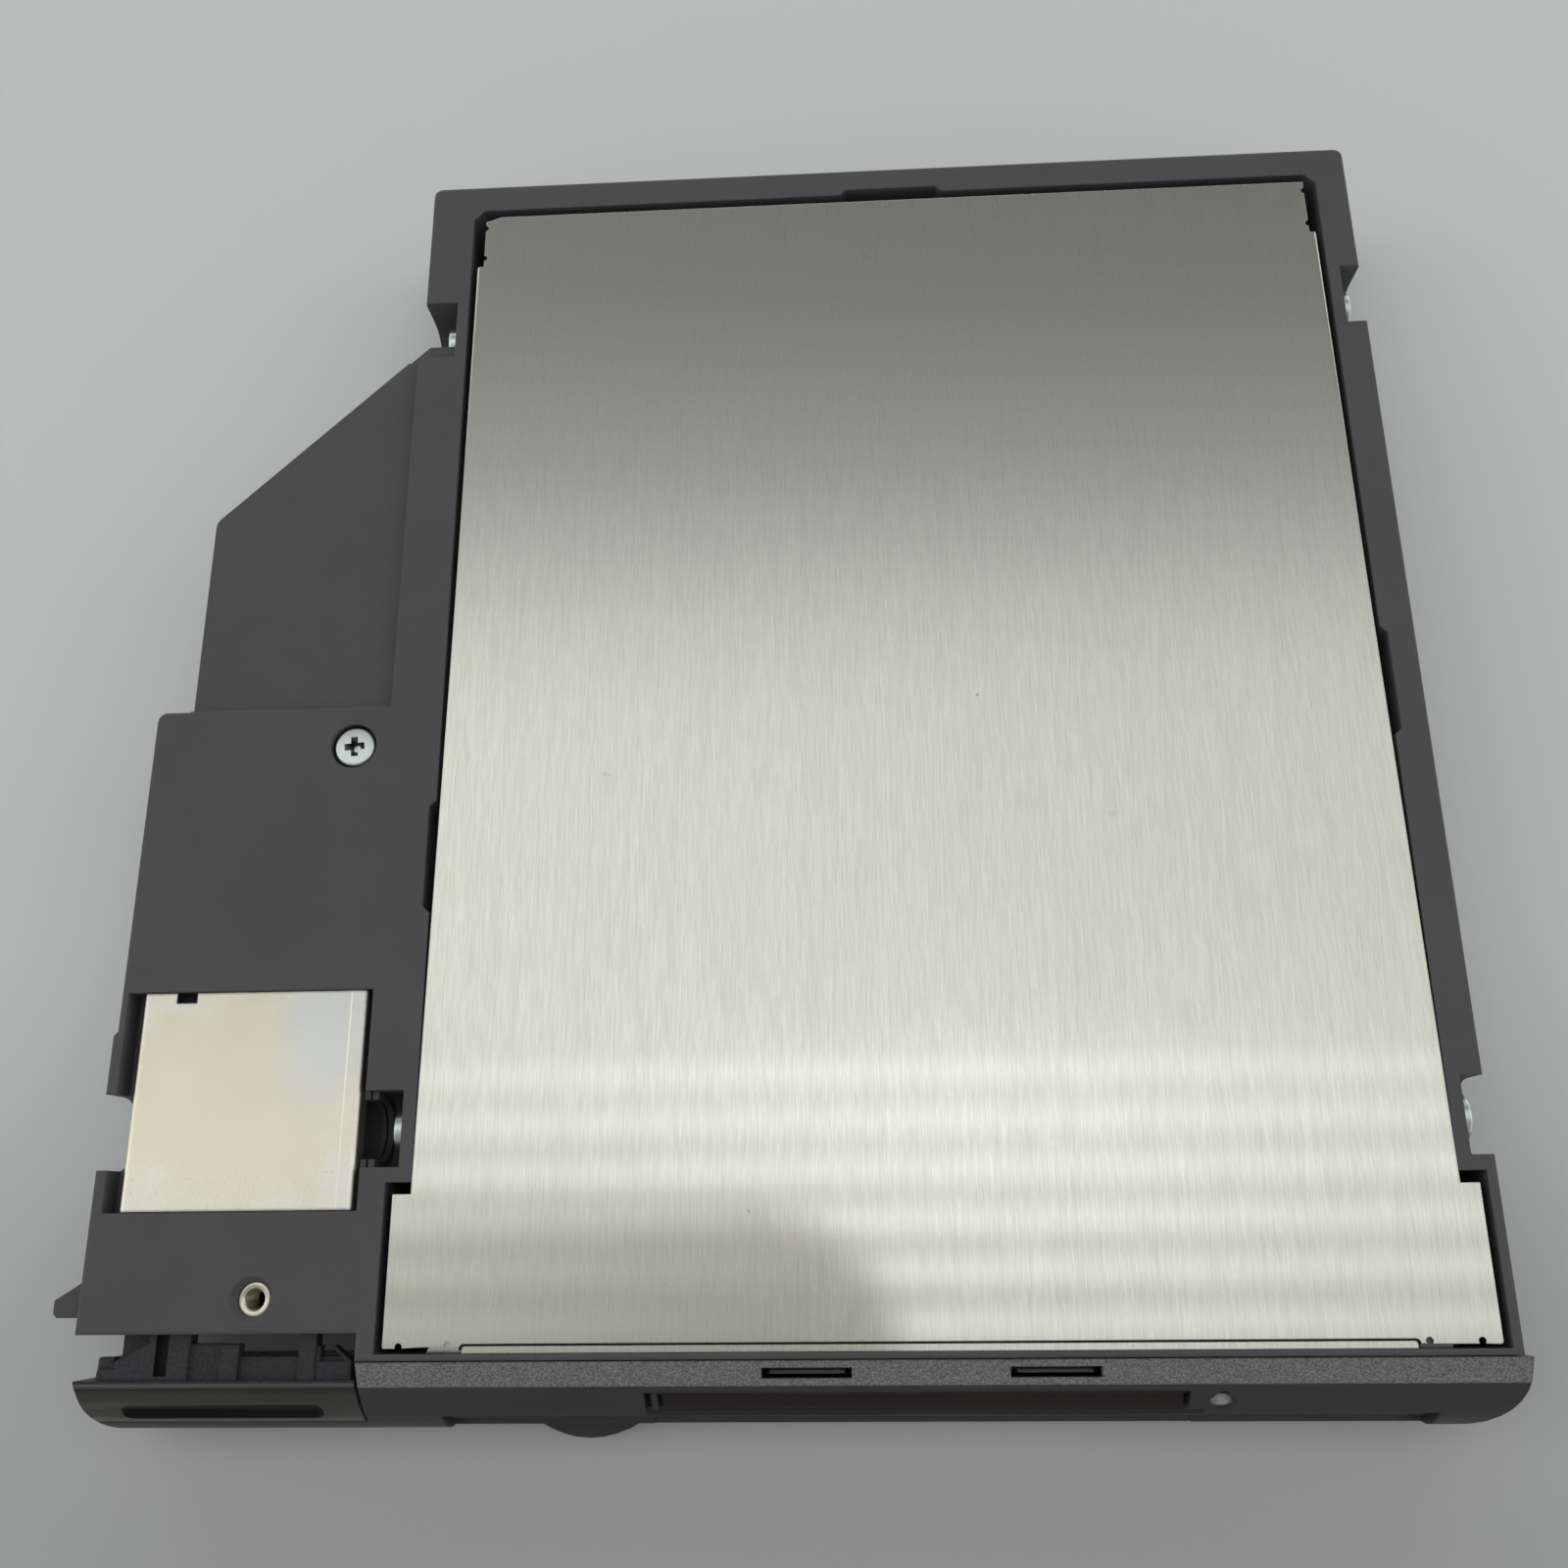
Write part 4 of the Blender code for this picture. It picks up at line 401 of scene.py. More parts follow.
materials = {
    "carrier": mouldedPlastic("carrierPlastic", **carrierLook),
    "bezel": frontPaint("bezelPaint", bezelLook),
    "lever": frontPaint("leverPaint", leverLook, grooveShade),
    "door": mouldedPlastic("doorPlastic", (0.011, 0.009, 0.0085), (0.017, 0.013, 0.012),
                           (0.03, 0.025, 0.025), 0.5, grain=0.25, depth=0.00004, gloss=0.15),
    "button": mouldedPlastic("buttonPlastic", (0.026, 0.025, 0.025), (0.034, 0.032, 0.032),
                             (0.07, 0.068, 0.068), 0.42),
    "fold": mouldedPlastic("foldShade", (0.040, 0.030, 0.026), (0.050, 0.038, 0.034),
                           (0.055, 0.045, 0.04), 0.7, gloss=0.1),
    "ear": plainMetal("earMetal", (0.45, 0.45, 0.44), (0.62, 0.62, 0.60), 0.45),
    "tab": mouldedPlastic("tabPlastic", (0.15, 0.14, 0.16), (0.19, 0.18, 0.20),
                          (0.22, 0.21, 0.23), 0.5),
    "black": mouldedPlastic("blackPlastic", (0.010, 0.010, 0.011), (0.016, 0.016, 0.017),
                            (0.03, 0.03, 0.03), 0.45),
    "white": mouldedPlastic("whitePlastic", (0.55, 0.53, 0.48), (0.62, 0.60, 0.55),
                            (0.65, 0.63, 0.6), 0.4),
    "lens": mouldedPlastic("lensPlastic", (0.55, 0.56, 0.56), (0.7, 0.71, 0.71),
                           (0.8, 0.8, 0.8), 0.2, depth=0.000002),
    "board": mouldedPlastic("boardMask", (0.012, 0.075, 0.03), (0.02, 0.11, 0.045),
                            (0.03, 0.15, 0.06), 0.35, grain=0.5),
    "plate": brushedMetal("brushedPlate", plateLook),
    "tin": shieldTin(),
    "zinc": plainMetal("zincSteel", (0.52, 0.57, 0.57), (0.64, 0.69, 0.68), 0.32),
    # a darker zinc for the inside of the screws' cross recess: painted shade
    "recessShade": plainMetal("recessShadeZinc", (0.10, 0.11, 0.11), (0.20, 0.22, 0.22), 0.4, 0.3),
    "nickel": plainMetal("nickelMetal", (0.56, 0.52, 0.43), (0.70, 0.67, 0.57), 0.25),
    "spring": plainMetal("springSteel", (0.36, 0.36, 0.37), (0.48, 0.48, 0.49), 0.3),
    "cast": plainMetal("castMetal", (0.34, 0.35, 0.36), (0.44, 0.45, 0.46), 0.5),
    "copper": plainMetal("copperWire", (0.45, 0.18, 0.07), (0.58, 0.26, 0.12), 0.4),
    "gold": plainMetal("goldPlate", (0.68, 0.46, 0.16), (0.80, 0.58, 0.25), 0.28),
}

nodeFinish = {
    "carrier": ["carrier_frame", "lower_cover", "latch_hook"],
    "bezel": ["bezel"],
    "lever": ["release_lever"],
    "button": ["eject_button"],
    "door": ["slot_door"],
    "black": ["head_carriage", "controller_chip", "dock_connector"],
    "white": ["lower_head", "upper_head", "flat_cable"],
    "lens": ["lamp_lens"],
    "board": ["drive_board", "dock_board"],
    "plate": ["cover_plate", "drive_cover"],
    "tin": ["shield_cover"],
    "zinc": ["wing_screw", "side_screw_left_front", "side_screw_left_rear",
             "side_screw_right_front", "side_screw_right_rear", "disk_cage", "shutter_lever",
             "eject_slider", "motor_base", "spindle_rotor", "stepper_motor", "upper_head_arm"],
    "nickel": ["threaded_insert"],
    "spring": ["latch_spring", "lead_screw", "guide_rod"],
    "cast": ["drive_chassis"],
    "copper": ["motor_stator"],
    "gold": ["spindle_bushing", "dock_contacts"],
}
for finish, names in nodeFinish.items():
    for name in names:
        node = nodes[name]
        node.data.materials.clear()
        node.data.materials.append(materials[finish])
print("finishes set")


# building helpers for the pieces made here
def newPiece(name, bm, body, finish, replaced=None, sharp=35.0):
    mesh = bpy.data.meshes.new(name)
    bmesh.ops.recalc_face_normals(bm, faces=bm.faces)
    bm.to_mesh(mesh)
    bm.free()
    for face in mesh.polygons:
        face.use_smooth = True
    mesh.set_sharp_from_angle(angle=math.radians(sharp))
    piece = bpy.data.objects.new(name, mesh)
    bpy.context.scene.collection.objects.link(piece)
    for key in finish:
        mesh.materials.append(materials[key])
    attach(piece, body)
    if replaced:
        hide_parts(replaced)
    return piece


def turnForm(bm, degrees, axis):
    bmesh.ops.rotate(bm, verts=bm.verts, matrix=Matrix.Rotation(math.radians(degrees), 3, axis))


def moveForm(bm, place):
    bmesh.ops.translate(bm, verts=bm.verts, vec=place)


def ring(bm, count, place):
    return [bm.verts.new(place(2 * math.pi * step / count)) for step in range(count)]


def bridge(bm, low, high):
    count = len(low)
    for step in range(count):
        after = (step + 1) % count
        bm.faces.new((low[step], low[after], high[after], high[step]))


# a stack of rings joined into one skin; each level gives its height and its radius by the angle
def stackRings(bm, count, levels, closed=True):
    rings = [ring(bm, count, lambda turn, h=height, r=radius: (
        r(turn) * math.cos(turn), r(turn) * math.sin(turn), h)) for height, radius in levels]
    for low, high in zip(rings, rings[1:]):
        bridge(bm, low, high)
    if closed:
        bm.faces.new(rings[0][::-1])
        bm.faces.new(rings[-1])
    else:
        bridge(bm, rings[-1], rings[0])


def plainRadius(radius):
    return lambda turn: radius


def threadRadius(radius, depth, height, pitch):
    def radiusAt(turn):
        phase = (height / pitch - turn / (2 * math.pi)) % 1.0
        return radius - depth * (1 - abs(2 * phase - 1))
    return radiusAt


def millimetres(levels):
    return [(height / 1000, lambda turn, r=radius: r(turn) / 1000) for height, radius in levels]


# subtracts a cutter from a bmesh and gives a new bmesh back
def carve(bm, cutter):
    pieces = []
    for number, form in enumerate((bm, cutter)):
        mesh = bpy.data.meshes.new(f"carving{number}")
        bmesh.ops.recalc_face_normals(form, faces=form.faces)
        form.to_mesh(mesh)
        form.free()
        pieces.append(bpy.data.objects.new(f"carving{number}", mesh))
        bpy.context.scene.collection.objects.link(pieces[-1])
    modifier = pieces[0].modifiers.new("carve", "BOOLEAN")
    modifier.object = pieces[1]
    modifier.solver = "EXACT"
    shaped = pieces[0].evaluated_get(bpy.context.evaluated_depsgraph_get()).to_mesh()
    result = bmesh.new()
    result.from_mesh(shaped)
    assert result.faces, "nothing left after carving"
    for piece in pieces:
        mesh = piece.data
        bpy.data.objects.remove(piece)
        bpy.data.meshes.remove(mesh)
    return result


# an upright prism over an outline given in the drive's millimetres
def prism(outline, low, high):
    bm = bmesh.new()
    rings = [[bm.verts.new(at(x, y, z)) for x, y in outline] for z in (low, high)]
    bridge(bm, *rings)
    bm.faces.new(rings[0][::-1])
    bm.faces.new(rings[1])
    return bm


def blockForm(left, right, front, rear, low, high):
    return prism([(left, front), (right, front), (right, rear), (left, rear)], low, high)


def arc(x, y, radius, first, last, steps=7):
    turns = [math.radians(first + (last - first) * step / steps) for step in range(steps + 1)]
    return [(x + radius * math.cos(turn), y + radius * math.sin(turn)) for turn in turns]


# Cross-recess screws: one in the wing, four in the side pockets. Sizes in millimetres.
screwLook = {
    "crossReach": 1.28, "crossWidth": 0.40, "crossDepth": 0.95, "crossFoot": 0.35, "wider": 0.11,
    "crossAbove": 0.3, "crossTaper": 0.6, "rim": 0.32, "rimSteps": 5, "crown": 0.06,
    "crownShare": 0.45, "chamfer": 0.08, "recessFloor": -0.94, "recessTop": -0.13,
    "shank": 0.95, "pitch": 0.6, "threadDepth": 0.16, "tipShare": 0.6, "tipLength": 0.3,
    "neckLength": 0.25, "neckDepth": 0.05, "wingHead": 0.95, "wingTurn": 4, "sideHead": 1.25,
    "sideTurns": {"front": 18, "rear": -25}, "sides": 48,
}


def crossCutter():
    look = screwLook
    bm = bmesh.new()
    rings = []
    for height, arm, half in (
            (look["crossAbove"], look["crossReach"], look["crossWidth"]),
            (-look["crossDepth"], look["crossFoot"], look["crossWidth"] * look["crossTaper"])):
        corners = []
        for quarter in range(4):
            turn = Matrix.Rotation(quarter * math.pi / 2, 3, "Z")
            for x, y in ((arm, -half), (arm, half), (half, half)):
                corners.append(bm.verts.new(turn @ Vector((x, y, height)) / 1000))
        rings.append(corners)
    bridge(bm, rings[1], rings[0])
    bm.faces.new(rings[1][::-1])
    bm.faces.new(rings[0])
    return bm


def screwForm(headRadius, headHeight, length):
    look = screwLook
    shank = look["shank"]
    levels = [(-length, plainRadius(shank * look["tipShare"]))]
    height = -length + look["tipLength"]
    while height < -headHeight - look["neckLength"]:
        levels.append((height, threadRadius(shank, look["threadDepth"], height, look["pitch"])))
        height += look["pitch"] / 4
    levels += [(-headHeight, plainRadius(shank - look["neckDepth"])),
               (-headHeight, plainRadius(headRadius - look["chamfer"])),
               (-headHeight + look["chamfer"], plainRadius(headRadius))]
    for step in range(look["rimSteps"] + 1):
        turn = math.pi / 2 * step / look["rimSteps"]
        levels.append((-look["rim"] * (1 - math.sin(turn)) - look["crown"],
                       plainRadius(headRadius - look["rim"] * (1 - math.cos(turn)))))
    levels.append((0.0, plainRadius(headRadius * look["crownShare"])))
    bm = bmesh.new()
    stackRings(bm, look["sides"], millimetres(levels))
    bm = carve(bm, crossCutter())
    # faces inside the cross take the second, darker finish: painted shade in the recess
    for face in bm.faces:
        middle = face.calc_center_median() * 1000
        inCross = math.hypot(middle.x, middle.y) < look["crossReach"]
        if inCross and look["recessFloor"] < middle.z < look["recessTop"]:
            face.material_index = 1
    return bm


def makeScrews():
    look = screwLook
    low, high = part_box("wing_screw")
    middle = (Vector(low) + Vector(high)) / 2
    radius = (high[0] - low[0]) / 2 * 1000 + look["wider"]
    bm = screwForm(radius, look["wingHead"], (high[2] - low[2]) * 1000)
    turnForm(bm, look["wingTurn"], "Z")
    moveForm(bm, (middle.x, middle.y, high[2]))
    newPiece("wingScrew", bm, "module", ["zinc", "recessShade"], "wing_screw")
    for side, sign in (("left", -1), ("right", 1)):
        for end, turn in look["sideTurns"].items():
            node = f"side_screw_{side}_{end}"
            low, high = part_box(node)
            middle = (Vector(low) + Vector(high)) / 2
            bm = screwForm((high[2] - low[2]) / 2 * 1000, look["sideHead"],
                           (high[0] - low[0]) * 1000)
            turnForm(bm, turn, "Z")
            turnForm(bm, sign * 90, "Y")
            moveForm(bm, (high[0] if sign > 0 else low[0], middle.y, middle.z))
            newPiece(f"sideScrew{side.title()}{end.title()}", bm, "module",
                     ["zinc", "recessShade"], node)


makeScrews()
print("screws made")

# Threaded insert: knurled outside, cut thread inside. Sizes in millimetres.
insertLook = {"knurls": 24, "knurlDepth": 0.06, "pitch": 0.50, "threadDepth": 0.20, "sides": 72,
              "wider": 0.2, "bore": 0.86, "raised": 0.15}


def makeInsert():
    look = insertLook
    low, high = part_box("threaded_insert")
    middle = (Vector(low) + Vector(high)) / 2
    outer = (high[0] - low[0]) / 2 * 1000 + look["wider"]
    length = (high[2] - low[2]) * 1000
    bore, depth = look["bore"], look["threadDepth"]

    def knurl(turn):
        return outer - look["knurlDepth"] * (0.5 + 0.5 * math.cos(look["knurls"] * turn))

    levels = [(-length, plainRadius(bore + 0.02)), (-length, plainRadius(outer - 0.1)),
              (-length + 0.15, knurl), (-0.55, knurl), (-0.45, plainRadius(outer - 0.08)),
              (-0.3, plainRadius(outer - 0.08)), (-0.22, plainRadius(outer)),
              (-0.08, plainRadius(outer)), (-0.02, plainRadius(outer - 0.03)),
              (0.0, plainRadius(outer - 0.10)), (0.0, plainRadius(bore + 0.22)),
              (-0.05, plainRadius(bore + 0.14))]
    height = -0.22
    while height > -length + 0.12:
        thread = threadRadius(bore + depth, depth, height, look["pitch"])
        levels.append((height, lambda turn, thread=thread: 2 * bore + depth - thread(turn)))
        height -= look["pitch"] / 5
    bm = bmesh.new()
    stackRings(bm, look["sides"], millimetres(levels), closed=False)
    moveForm(bm, (middle.x, middle.y, high[2] + look["raised"] / 1000))
    newPiece("threadedInsert", bm, "module", ["nickel"], "threaded_insert")


makeInsert()
print("insert made")


# Lamp: an oval milky dome in the dish of the bezel's front, drive millimetres; its colour is
# painted light, bright in the middle and dim at its ends
lampLook = {
    "middle": (25.95, -5.30, 10.62), "half": (1.75, 0.72, 0.36), "lean": 40.0,
    "bright": (0.27, 0.27, 0.28), "dim": (0.045, 0.045, 0.047), "glow": (1.3, 0.2), "warp": 0.4,
}


def lampFinish():
    look = lampLook
    material, tree, shader = newMaterial("milkyLamp", 0.45)
    texture = useGroup(tree, mouldGrain, Size=0.12, Clouds=0.7)
    finishNormal(tree, shader, texture["Height"], 0.00001, 0.0001)
    x = splitVector(tree, objectMillimetres(tree))[0]
    middle = look["middle"][0] + 1000 * moduleOrigin[0]
    away = mathNode(tree, "ABSOLUTE", mathNode(tree, "SUBTRACT", x, middle))
    away = mathNode(tree, "ADD", away, rangeNode(tree, texture["Shade"], *shadeSpan,
                                                 -look["warp"], look["warp"]))
    # painted light: bright in the middle, dim towards the ends
    tree.links.new(mixColor(tree, rangeNode(tree, away, *look["glow"], smooth=True), look["dim"],
                            look["bright"]), shader.inputs["Base Color"])
    return material


def makeLamp():
    look = lampLook
    materials["lamp"] = lampFinish()
    bm = bmesh.new()
    bmesh.ops.create_uvsphere(bm, u_segments=32, v_segments=16, radius=1.0)
    scale = Matrix.Diagonal([size / 1000 for size in look["half"]])
    bmesh.ops.transform(bm, matrix=scale.to_4x4(), verts=bm.verts)
    turnForm(bm, look["lean"], "X")
    moveForm(bm, at(*look["middle"]))
    newPiece("lampDome", bm, "module", ["lamp"], "lamp_lens")


# The lever again, with a gap beside its left arm, a corner taken off that arm and a lower block
# beside the middle rib. Sizes in the drive's millimetres.
leverCuts = {
    "gap": (-72.43, -71.21, -2.85, 3.0, 11.2, 14.0),
    "corner": [(-76.6, -1.7), (-73.1, 0.1), (-73.1, 1.0), (-76.6, 1.0)], "cornerSpan": (11.3, 14.0),
    "block": [(-71.15, -3.6), (-66.3, -3.6), (-66.3, -0.05), (-70.8, -0.05), (-71.15, -0.4)],
    "blockSpan": (11.3, 12.15), "flatBehind": -3.6,
}


def makeLever():
    source = nodes["release_lever"]
    bm = bmesh.new()
    bm.from_mesh(source.data)
    bmesh.ops.transform(bm, matrix=source.matrix_world, verts=bm.verts)
    bm = carve(bm, blockForm(*leverCuts["gap"]))
    bm = carve(bm, prism(leverCuts["corner"], *leverCuts["cornerSpan"]))
    block = prism(leverCuts["block"], *leverCuts["blockSpan"])
    mesh = bpy.data.meshes.new("leverBlock")
    block.to_mesh(mesh)
    bm.from_mesh(mesh)
    block.free()
    bpy.data.meshes.remove(mesh)
    lever = newPiece("gripLever", bm, "lever", ["lever"], "release_lever", sharp=20)
    behind = at(0, leverCuts["flatBehind"], 0).y
    for face in lever.data.polygons:
        face.use_smooth = face.center.y < behind


makeLamp()
makeLever()
print("lamp and lever made")

# Cover sheet in place of the plainer plate: its front edge, bent lip, ears and notches follow the
# photograph. Sizes in the drive's millimetres.
sheetLook = {
    "half": 48.05, "wingHalf": 50.3, "wingDepth": 13.2, "depth": 123.4, "top": 14.5, "under": 13.9,
    "skirt": 8.9, "inside": 47.45, "frontOpen": 14.4, "rearOpen": 116.1, "rearHalf": 47.15,
    "rearStart": 116.6, "bend": 0.5, "notch": 0.35, "lipTop": 14.36, "grooveFloor": 14.12,
    "holeRadius": 1.25, "holeHeight": 10.6, "holes": (19.3, 108.3),
}


def lipBay(half, rear, radius):
    return ([(-half, -1.2)] + arc(-half + radius, rear - radius, radius, 180, 90)
            + arc(half - radius, rear - radius, radius, 90, 0) + [(half, -1.2)])


def makeCoverSheet():
    look = sheetLook
    half, wing, rear, notch = look["half"], look["wingHalf"], look["rearHalf"], look["notch"]
    outline = [(-50.22, -0.41)] + arc(-48.80, -0.28, notch, 202, -20)
    outline += [(-46.60, -0.30)] + arc(-44.26, -0.17, notch, 200, -20)
    outline += [(-43.35, -0.29), (-42.98, -0.86), (42.90, -0.86), (43.30, -0.42)]
    outline += arc(43.92, -0.25, notch, 215, -40) + [(46.50, -0.49)]
    outline += arc(48.50, -0.28, notch, 217, -37)
    outline += [(50.15, -0.53), (wing, -0.30), (wing, look["wingDepth"]), (half, look["wingDepth"]),
                (half, look["rearStart"]), (rear, look["rearStart"])]
    outline += arc(rear, look["rearStart"] + 1.2, notch, -90, -270)
    outline += arc(rear, look["depth"] - 1.2, notch, -90, -270)
    outline += [(rear, look["depth"]), (-rear + 1.8, look["depth"]), (-rear, look["depth"] - 0.6)]
    outline += arc(-rear, look["depth"] - 1.5, notch, 90, -90)
    outline += arc(-rear, look["rearStart"] + 1.2, notch, 90, -90)
    outline += [(-rear, look["rearStart"]), (-half, look["rearStart"]), (-half, look["wingDepth"]),
                (-wing, look["wingDepth"]), (-wing, -0.30)]
    bm = prism(outline, look["skirt"], look["top"])
    top = look["top"] / 1000 - 1e-6
    sides = [half + 1000 * moduleOrigin[0], -half + 1000 * moduleOrigin[0]]
    folds = [edge for edge in bm.edges if all(
        vert.co.z > top and min(abs(vert.co.x * 1000 - side) for side in sides) < 0.001
        for vert in edge.verts)]
    bmesh.ops.bevel(bm, geom=folds, offset=look["bend"] / 1000, segments=6, profile=0.5,
                    affect="EDGES")
    behind = look["depth"] + 5
    for form in ((-look["inside"], look["inside"], -5, behind, 0, look["under"]),
                 (-wing - 1, wing + 1, -5, look["frontOpen"], 0, look["under"]),
                 (-wing - 1, wing + 1, look["rearOpen"], behind, 0, look["under"])):
        bm = carve(bm, blockForm(*form))
    groove = lipBay(43.18, -0.03, 0.45)
    bm = carve(bm, prism(groove, look["lipTop"], look["top"] + 1))
    bm = carve(bm, prism(groove + lipBay(42.93, -0.25, 0.30)[::-1], look["grooveFloor"],
                         look["top"] + 1))
    for side in (-half, half):
        for hole in look["holes"]:
            drill = bmesh.new()
            bmesh.ops.create_cone(drill, cap_ends=True, segments=24,
                                  radius1=look["holeRadius"] / 1000,
                                  radius2=look["holeRadius"] / 1000, depth=0.004)
            turnForm(drill, 90, "Y")
            moveForm(drill, at(side, hole, look["holeHeight"]))
            bm = carve(bm, drill)
    # the groove's own faces get painted shade, a dark brown
    for face in bm.faces:
        middle = face.calc_center_median() * 1000
        x, y = middle.x - 1000 * moduleOrigin[0], middle.y - 1000 * moduleOrigin[1]
        inBay = abs(x) < 43.22 and -0.82 < y < 0.0
        lipFloor = face.normal.z > 0.9 and middle.z > look["lipTop"] - 0.03
        if inBay and look["grooveFloor"] - 0.02 < middle.z < look["top"] - 0.01 and not lipFloor:
            face.material_index = 1
    newPiece("coverSheet", bm, "module", ["plate", "fold"], "cover_plate")


# two small pieces that show under the sheet's front corners, in the drive's millimetres
earSpan = (13.25, 13.87)
earLook = {
    "leftEar": {"slot": "brushed_sheet", "finish": "ear", "bend": 0.06, "outline": [
        (-46.45, -0.89), (-43.05, -0.89), (-42.85, -0.70), (-42.85, 0.8), (-45.7, 0.8),
        (-46.05, -0.35)]},
    "rightTab": {"slot": "moulded_dark", "finish": "tab", "bend": 0.05, "outline": [
        (43.15, -0.70), (43.35, -0.89), (46.15, -0.89), (46.15, 0.8), (43.15, 0.8)]},
}


def makeFrontEars():
    for name, look in earLook.items():
        bm = prism(look["outline"], *earSpan)
        top = [edge for edge in bm.edges if all(
            vert.co.z * 1000 > sum(earSpan) / 2 for vert in edge.verts)]
        bmesh.ops.bevel(bm, geom=top, offset=look["bend"] / 1000, segments=2, profile=0.5,
                        affect="EDGES")
        newPiece(name, bm, "module", [look["finish"]])


makeCoverSheet()
makeFrontEars()
print("cover sheet made")


# camera and studio
cameraView = {
    "place": (0.00961, -0.04923, 0.15215),
    "right": (0.99854, -0.00943, -0.05312),
    "down": (-0.02477, -0.9548, -0.29623),
    "forward": (-0.04792, 0.29711, -0.95364),
    "lens": 32.625,
}


def makeCamera():
    data = bpy.data.cameras.new("camera")
    data.lens = cameraView["lens"]
    data.sensor_width = 36.0
    data.clip_start = 0.005
    camera = bpy.data.objects.new("camera", data)
    bpy.context.scene.collection.objects.link(camera)
    right, down, forward = (Vector(cameraView[key]) for key in ("right", "down", "forward"))
    turn = Matrix((right, -down, -forward)).transposed().to_4x4()
    camera.matrix_world = Matrix.Translation(cameraView["place"]) @ turn
    bpy.context.scene.camera = camera


# pale paper with painted shade, a little darker towards the front; places in metres
floorLook = {
    "size": 3.0, "height": -0.0002, "near": (0.400, 0.408, 0.410),
    "far": (0.640, 0.658, 0.655), "nearEdge": -0.085, "farEdge": -0.015,
}


def makeFloor():
    mesh = bpy.data.meshes.new("studioFloor")
    bm = bmesh.new()
    bmesh.ops.create_grid(bm, x_segments=1, y_segments=1, size=floorLook["size"])
    bm.to_mesh(mesh)
    bm.free()
    floor = bpy.data.objects.new("studioFloor", mesh)
    floor.location.z = floorLook["height"]
    bpy.context.scene.collection.objects.link(floor)
    material, tree, shader = newMaterial("floorPaper", 0.7)
    place = addNode(tree, "ShaderNodeTexCoord").outputs["Object"]
    depth = splitVector(tree, place)[1]
    # painted shade: darker towards the front
    share = rangeNode(tree, depth, floorLook["nearEdge"], floorLook["farEdge"], smooth=True)
    tree.links.new(mixColor(tree, share, floorLook["near"], floorLook["far"]),
                   shader.inputs["Base Color"])
    mesh.materials.append(material)


# The room's brightness goes by the angle from straight up towards the module's rear, in degrees.
# Lamps stand at the left and right, the ceiling light comes in thin bars, and one rounded patch of
# it is shaded. Near the horizon the walls are plain.
roomLook = {
    "stops": [(-90, 0.36), (-40, 0.38), (-25, 0.42), (-12, 0.78), (-7, 0.96), (-4, 1.04),
              (0, 1.27), (3, 1.42), (6.2, 1.48), (7.2, 1.08), (14, 1.06), (18, 1.10), (21, 1.10),
              (24, 0.92), (27, 0.62), (30, 0.395), (36, 0.225), (46, 0.10), (52, 0.5),
              (60, 1.45), (70, 1.5), (90, 1.5)],
    "coldStops": (24.0, 38.0), "cold": (0.96, 0.98, 1.05),
    "sideMost": 0.5, "leanSpan": (8.5, 6.0), "barSpan": (6.0, -4.0),
    "leftLamp": 0.9, "rightLamp": 0.8, "lampStart": 0.6, "lampFull": 0.95,
    "slopeFar": 0.30, "peak": 1.18, "peakMiddle": 0.055, "peakLeft": 0.65, "peakRight": 0.95,
    "barStep": 1.87, "barMiddle": 0.2, "barRear": 0.20, "barFront": 0.50, "barEnd": 6.8,
    "patchMiddle": (-0.24, -0.14), "patchHalf": (0.262, 0.151), "patchCorner": 0.10,
    "patchSoft": 0.014, "patchLeft": 0.50, "patchRight": 0.06, "patchSpan": (-0.31, -0.05),
    "tint": (1.0, 1.0, 0.98),
    "horizon": 1.12, "horizonLean": 0.38, "horizonFull": 0.25, "horizonTop": 0.50,
}


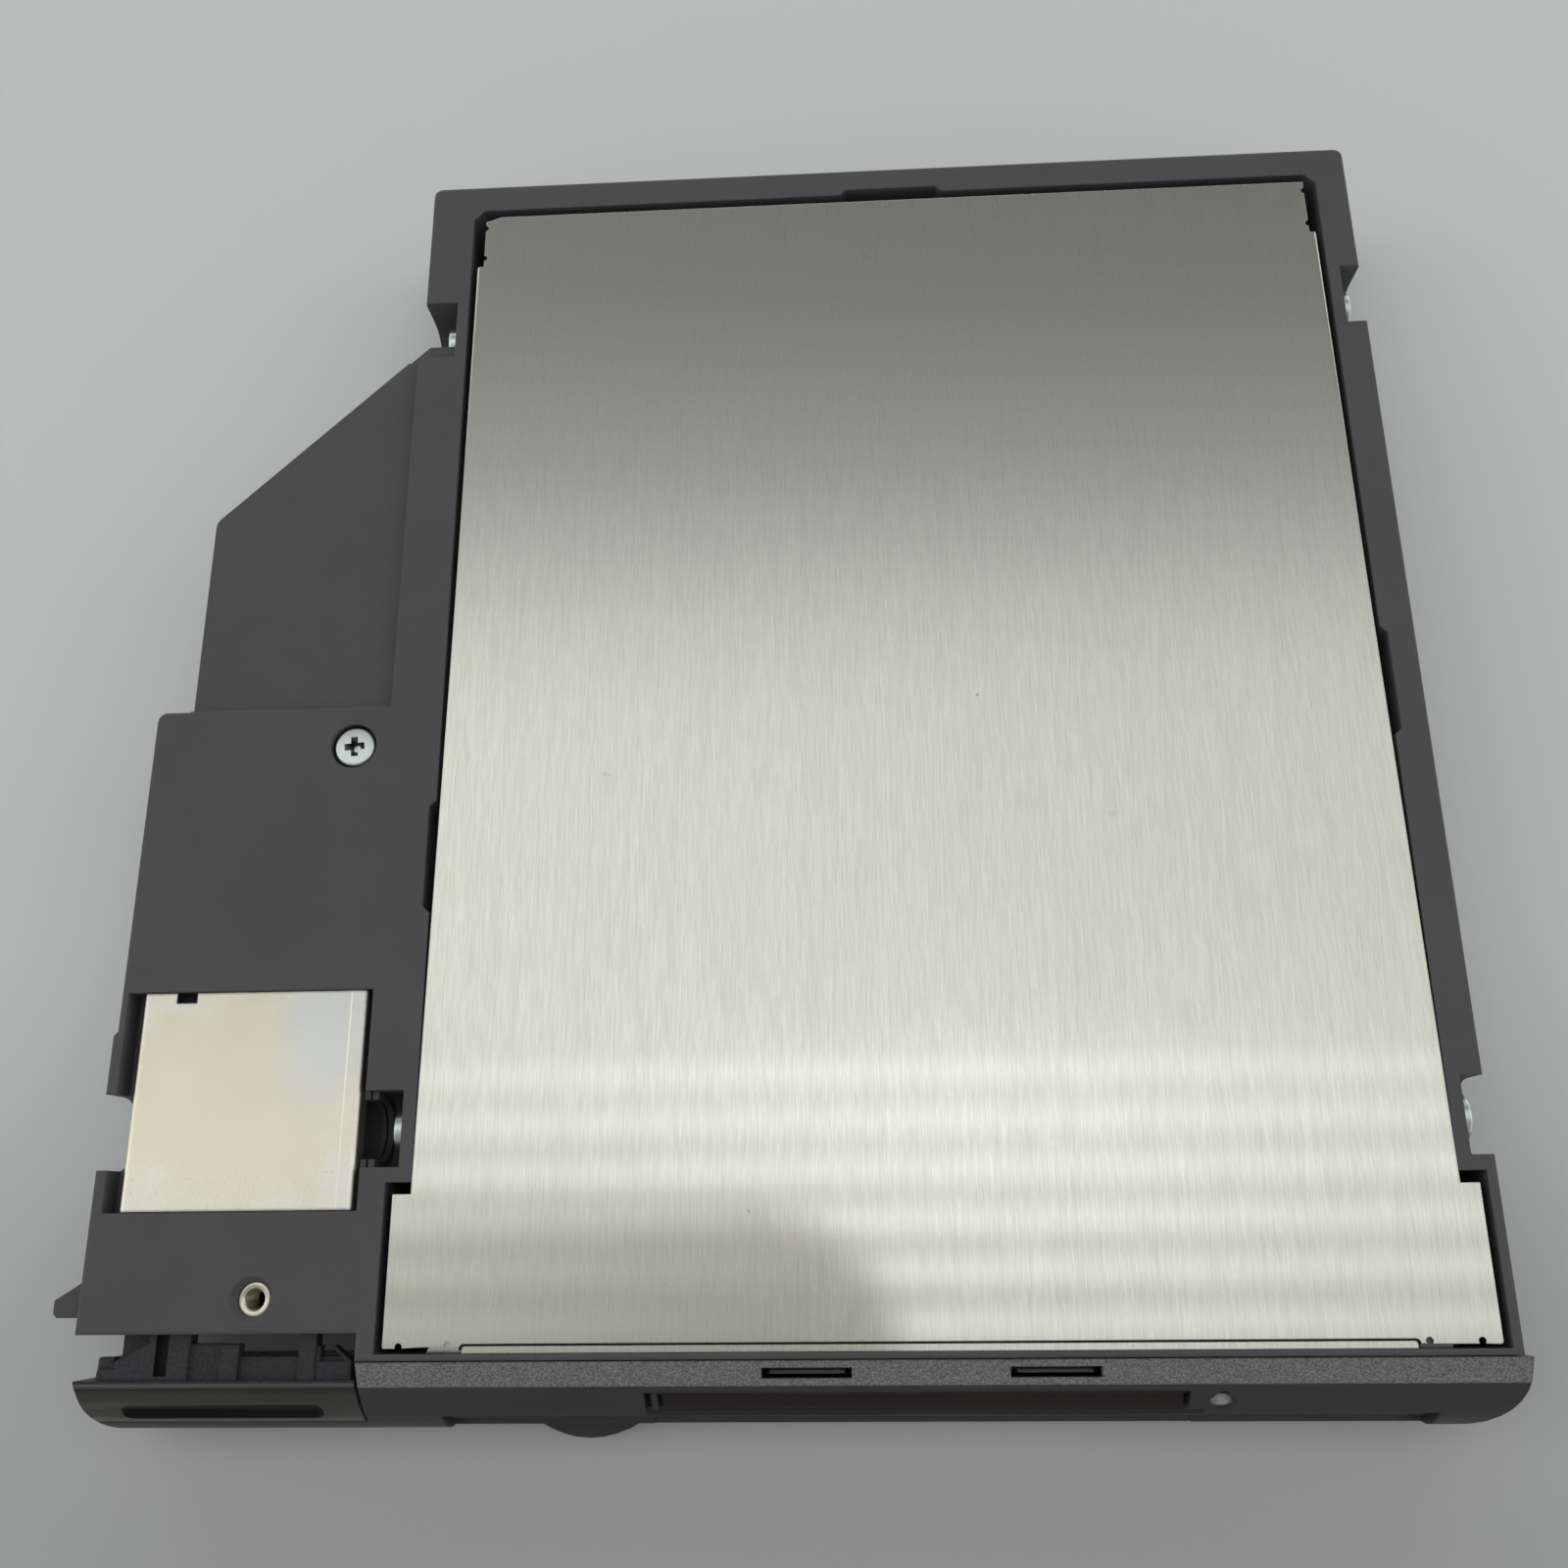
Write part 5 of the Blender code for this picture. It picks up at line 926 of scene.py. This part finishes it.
def makeRoom():
    world = bpy.data.worlds.new("room")
    bpy.context.scene.world = world
    world.use_nodes = True
    tree = world.node_tree
    tree.nodes.clear()
    place = addNode(tree, "ShaderNodeTexCoord").outputs["Generated"]
    x, y, z = splitVector(tree, place)
    tilt = mathNode(tree, "DEGREES", mathNode(tree, "ARCTAN2", y, z))
    level = levelRamp(tree, tilt, roomLook["stops"])
    for side, lamp in ((-1.0, "leftLamp"), (1.0, "rightLamp")):
        reach = mathNode(tree, "MULTIPLY", x, side)
        glow = rangeNode(tree, reach, roomLook["lampStart"], roomLook["lampFull"], 0.0,
                         roomLook[lamp], smooth=True)
        level = mathNode(tree, "ADD", level, glow)
    # brighter towards the left at the rear, and in the middle further forward
    up = mathNode(tree, "MAXIMUM", z, 0.01)
    most = roomLook["sideMost"]
    aside = mathNode(tree, "MINIMUM", mathNode(tree, "MAXIMUM", mathNode(
        tree, "DIVIDE", x, up), -most), most)
    even = mathNode(tree, "MULTIPLY_ADD", aside, -roomLook["slopeFar"], 1.0)
    off = mathNode(tree, "SUBTRACT", aside, roomLook["peakMiddle"])
    right = mathNode(tree, "MULTIPLY", mathNode(tree, "MAXIMUM", off, 0.0), roomLook["peakRight"])
    left = mathNode(tree, "MULTIPLY", mathNode(tree, "MINIMUM", off, 0.0), roomLook["peakLeft"])
    peaked = mathNode(tree, "ADD", mathNode(tree, "SUBTRACT", roomLook["peak"], right), left)
    nearer = rangeNode(tree, tilt, *roomLook["leanSpan"])
    lean = mathNode(tree, "ADD", mathNode(tree, "MULTIPLY", nearer, peaked), mathNode(
        tree, "MULTIPLY", mathNode(tree, "SUBTRACT", 1.0, nearer), even))
    level = mathNode(tree, "MULTIPLY", level, lean)
    turn = mathNode(tree, "MULTIPLY", mathNode(tree, "SUBTRACT", tilt, roomLook["barMiddle"]),
                    2 * math.pi / roomLook["barStep"])
    under = mathNode(tree, "LESS_THAN", tilt, roomLook["barEnd"])
    above = mathNode(tree, "GREATER_THAN", tilt, -roomLook["barEnd"])
    swing = mathNode(tree, "MULTIPLY", mathNode(tree, "COSINE", turn),
                     mathNode(tree, "MULTIPLY", under, above))
    depth = rangeNode(tree, tilt, *roomLook["barSpan"], roomLook["barRear"],
                      roomLook["barFront"])
    bars = mathNode(tree, "ADD", mathNode(tree, "MULTIPLY", swing, depth), 1.0)
    level = mathNode(tree, "MULTIPLY", level, bars)
    # distance outside the patch's rounded outline, on a flat ceiling one unit up
    outside = []
    for axis, part in enumerate((x, y)):
        offset = mathNode(tree, "SUBTRACT", mathNode(tree, "DIVIDE", part, up),
                          roomLook["patchMiddle"][axis])
        inner = roomLook["patchHalf"][axis] - roomLook["patchCorner"]
        outside.append(mathNode(tree, "MAXIMUM", mathNode(
            tree, "SUBTRACT", mathNode(tree, "ABSOLUTE", offset), inner), 0.0))
    shaded = rangeNode(tree, aside, *roomLook["patchSpan"], roomLook["patchLeft"],
                       roomLook["patchRight"])
    patch = rangeNode(tree, distance(tree, *outside),
                      roomLook["patchCorner"] - roomLook["patchSoft"],
                      roomLook["patchCorner"] + roomLook["patchSoft"], shaded, 1.0)
    level = mathNode(tree, "MULTIPLY", level, patch)
    # plain walls near the horizon, a little brighter at the rear
    walls = mathNode(tree, "MULTIPLY_ADD", y, roomLook["horizonLean"], roomLook["horizon"])
    low = rangeNode(tree, z, roomLook["horizonTop"], roomLook["horizonFull"], smooth=True)
    level = mathNode(tree, "ADD", mathNode(tree, "MULTIPLY", level, mathNode(
        tree, "SUBTRACT", 1.0, low)), mathNode(tree, "MULTIPLY", walls, low))
    cold = mathNode(tree, "MULTIPLY", rangeNode(tree, tilt, *roomLook["coldStops"]), mathNode(
        tree, "SUBTRACT", 1.0, low))
    background = addNode(tree, "ShaderNodeBackground", {
        "Color": mixColor(tree, cold, roomLook["tint"], roomLook["cold"]), "Strength": level})
    out = addNode(tree, "ShaderNodeOutputWorld")
    tree.links.new(background.outputs[0], out.inputs[0])


makeCamera()
makeFloor()
makeRoom()
scene = bpy.context.scene
scene.view_settings.view_transform = "Standard"
print("camera and studio made")
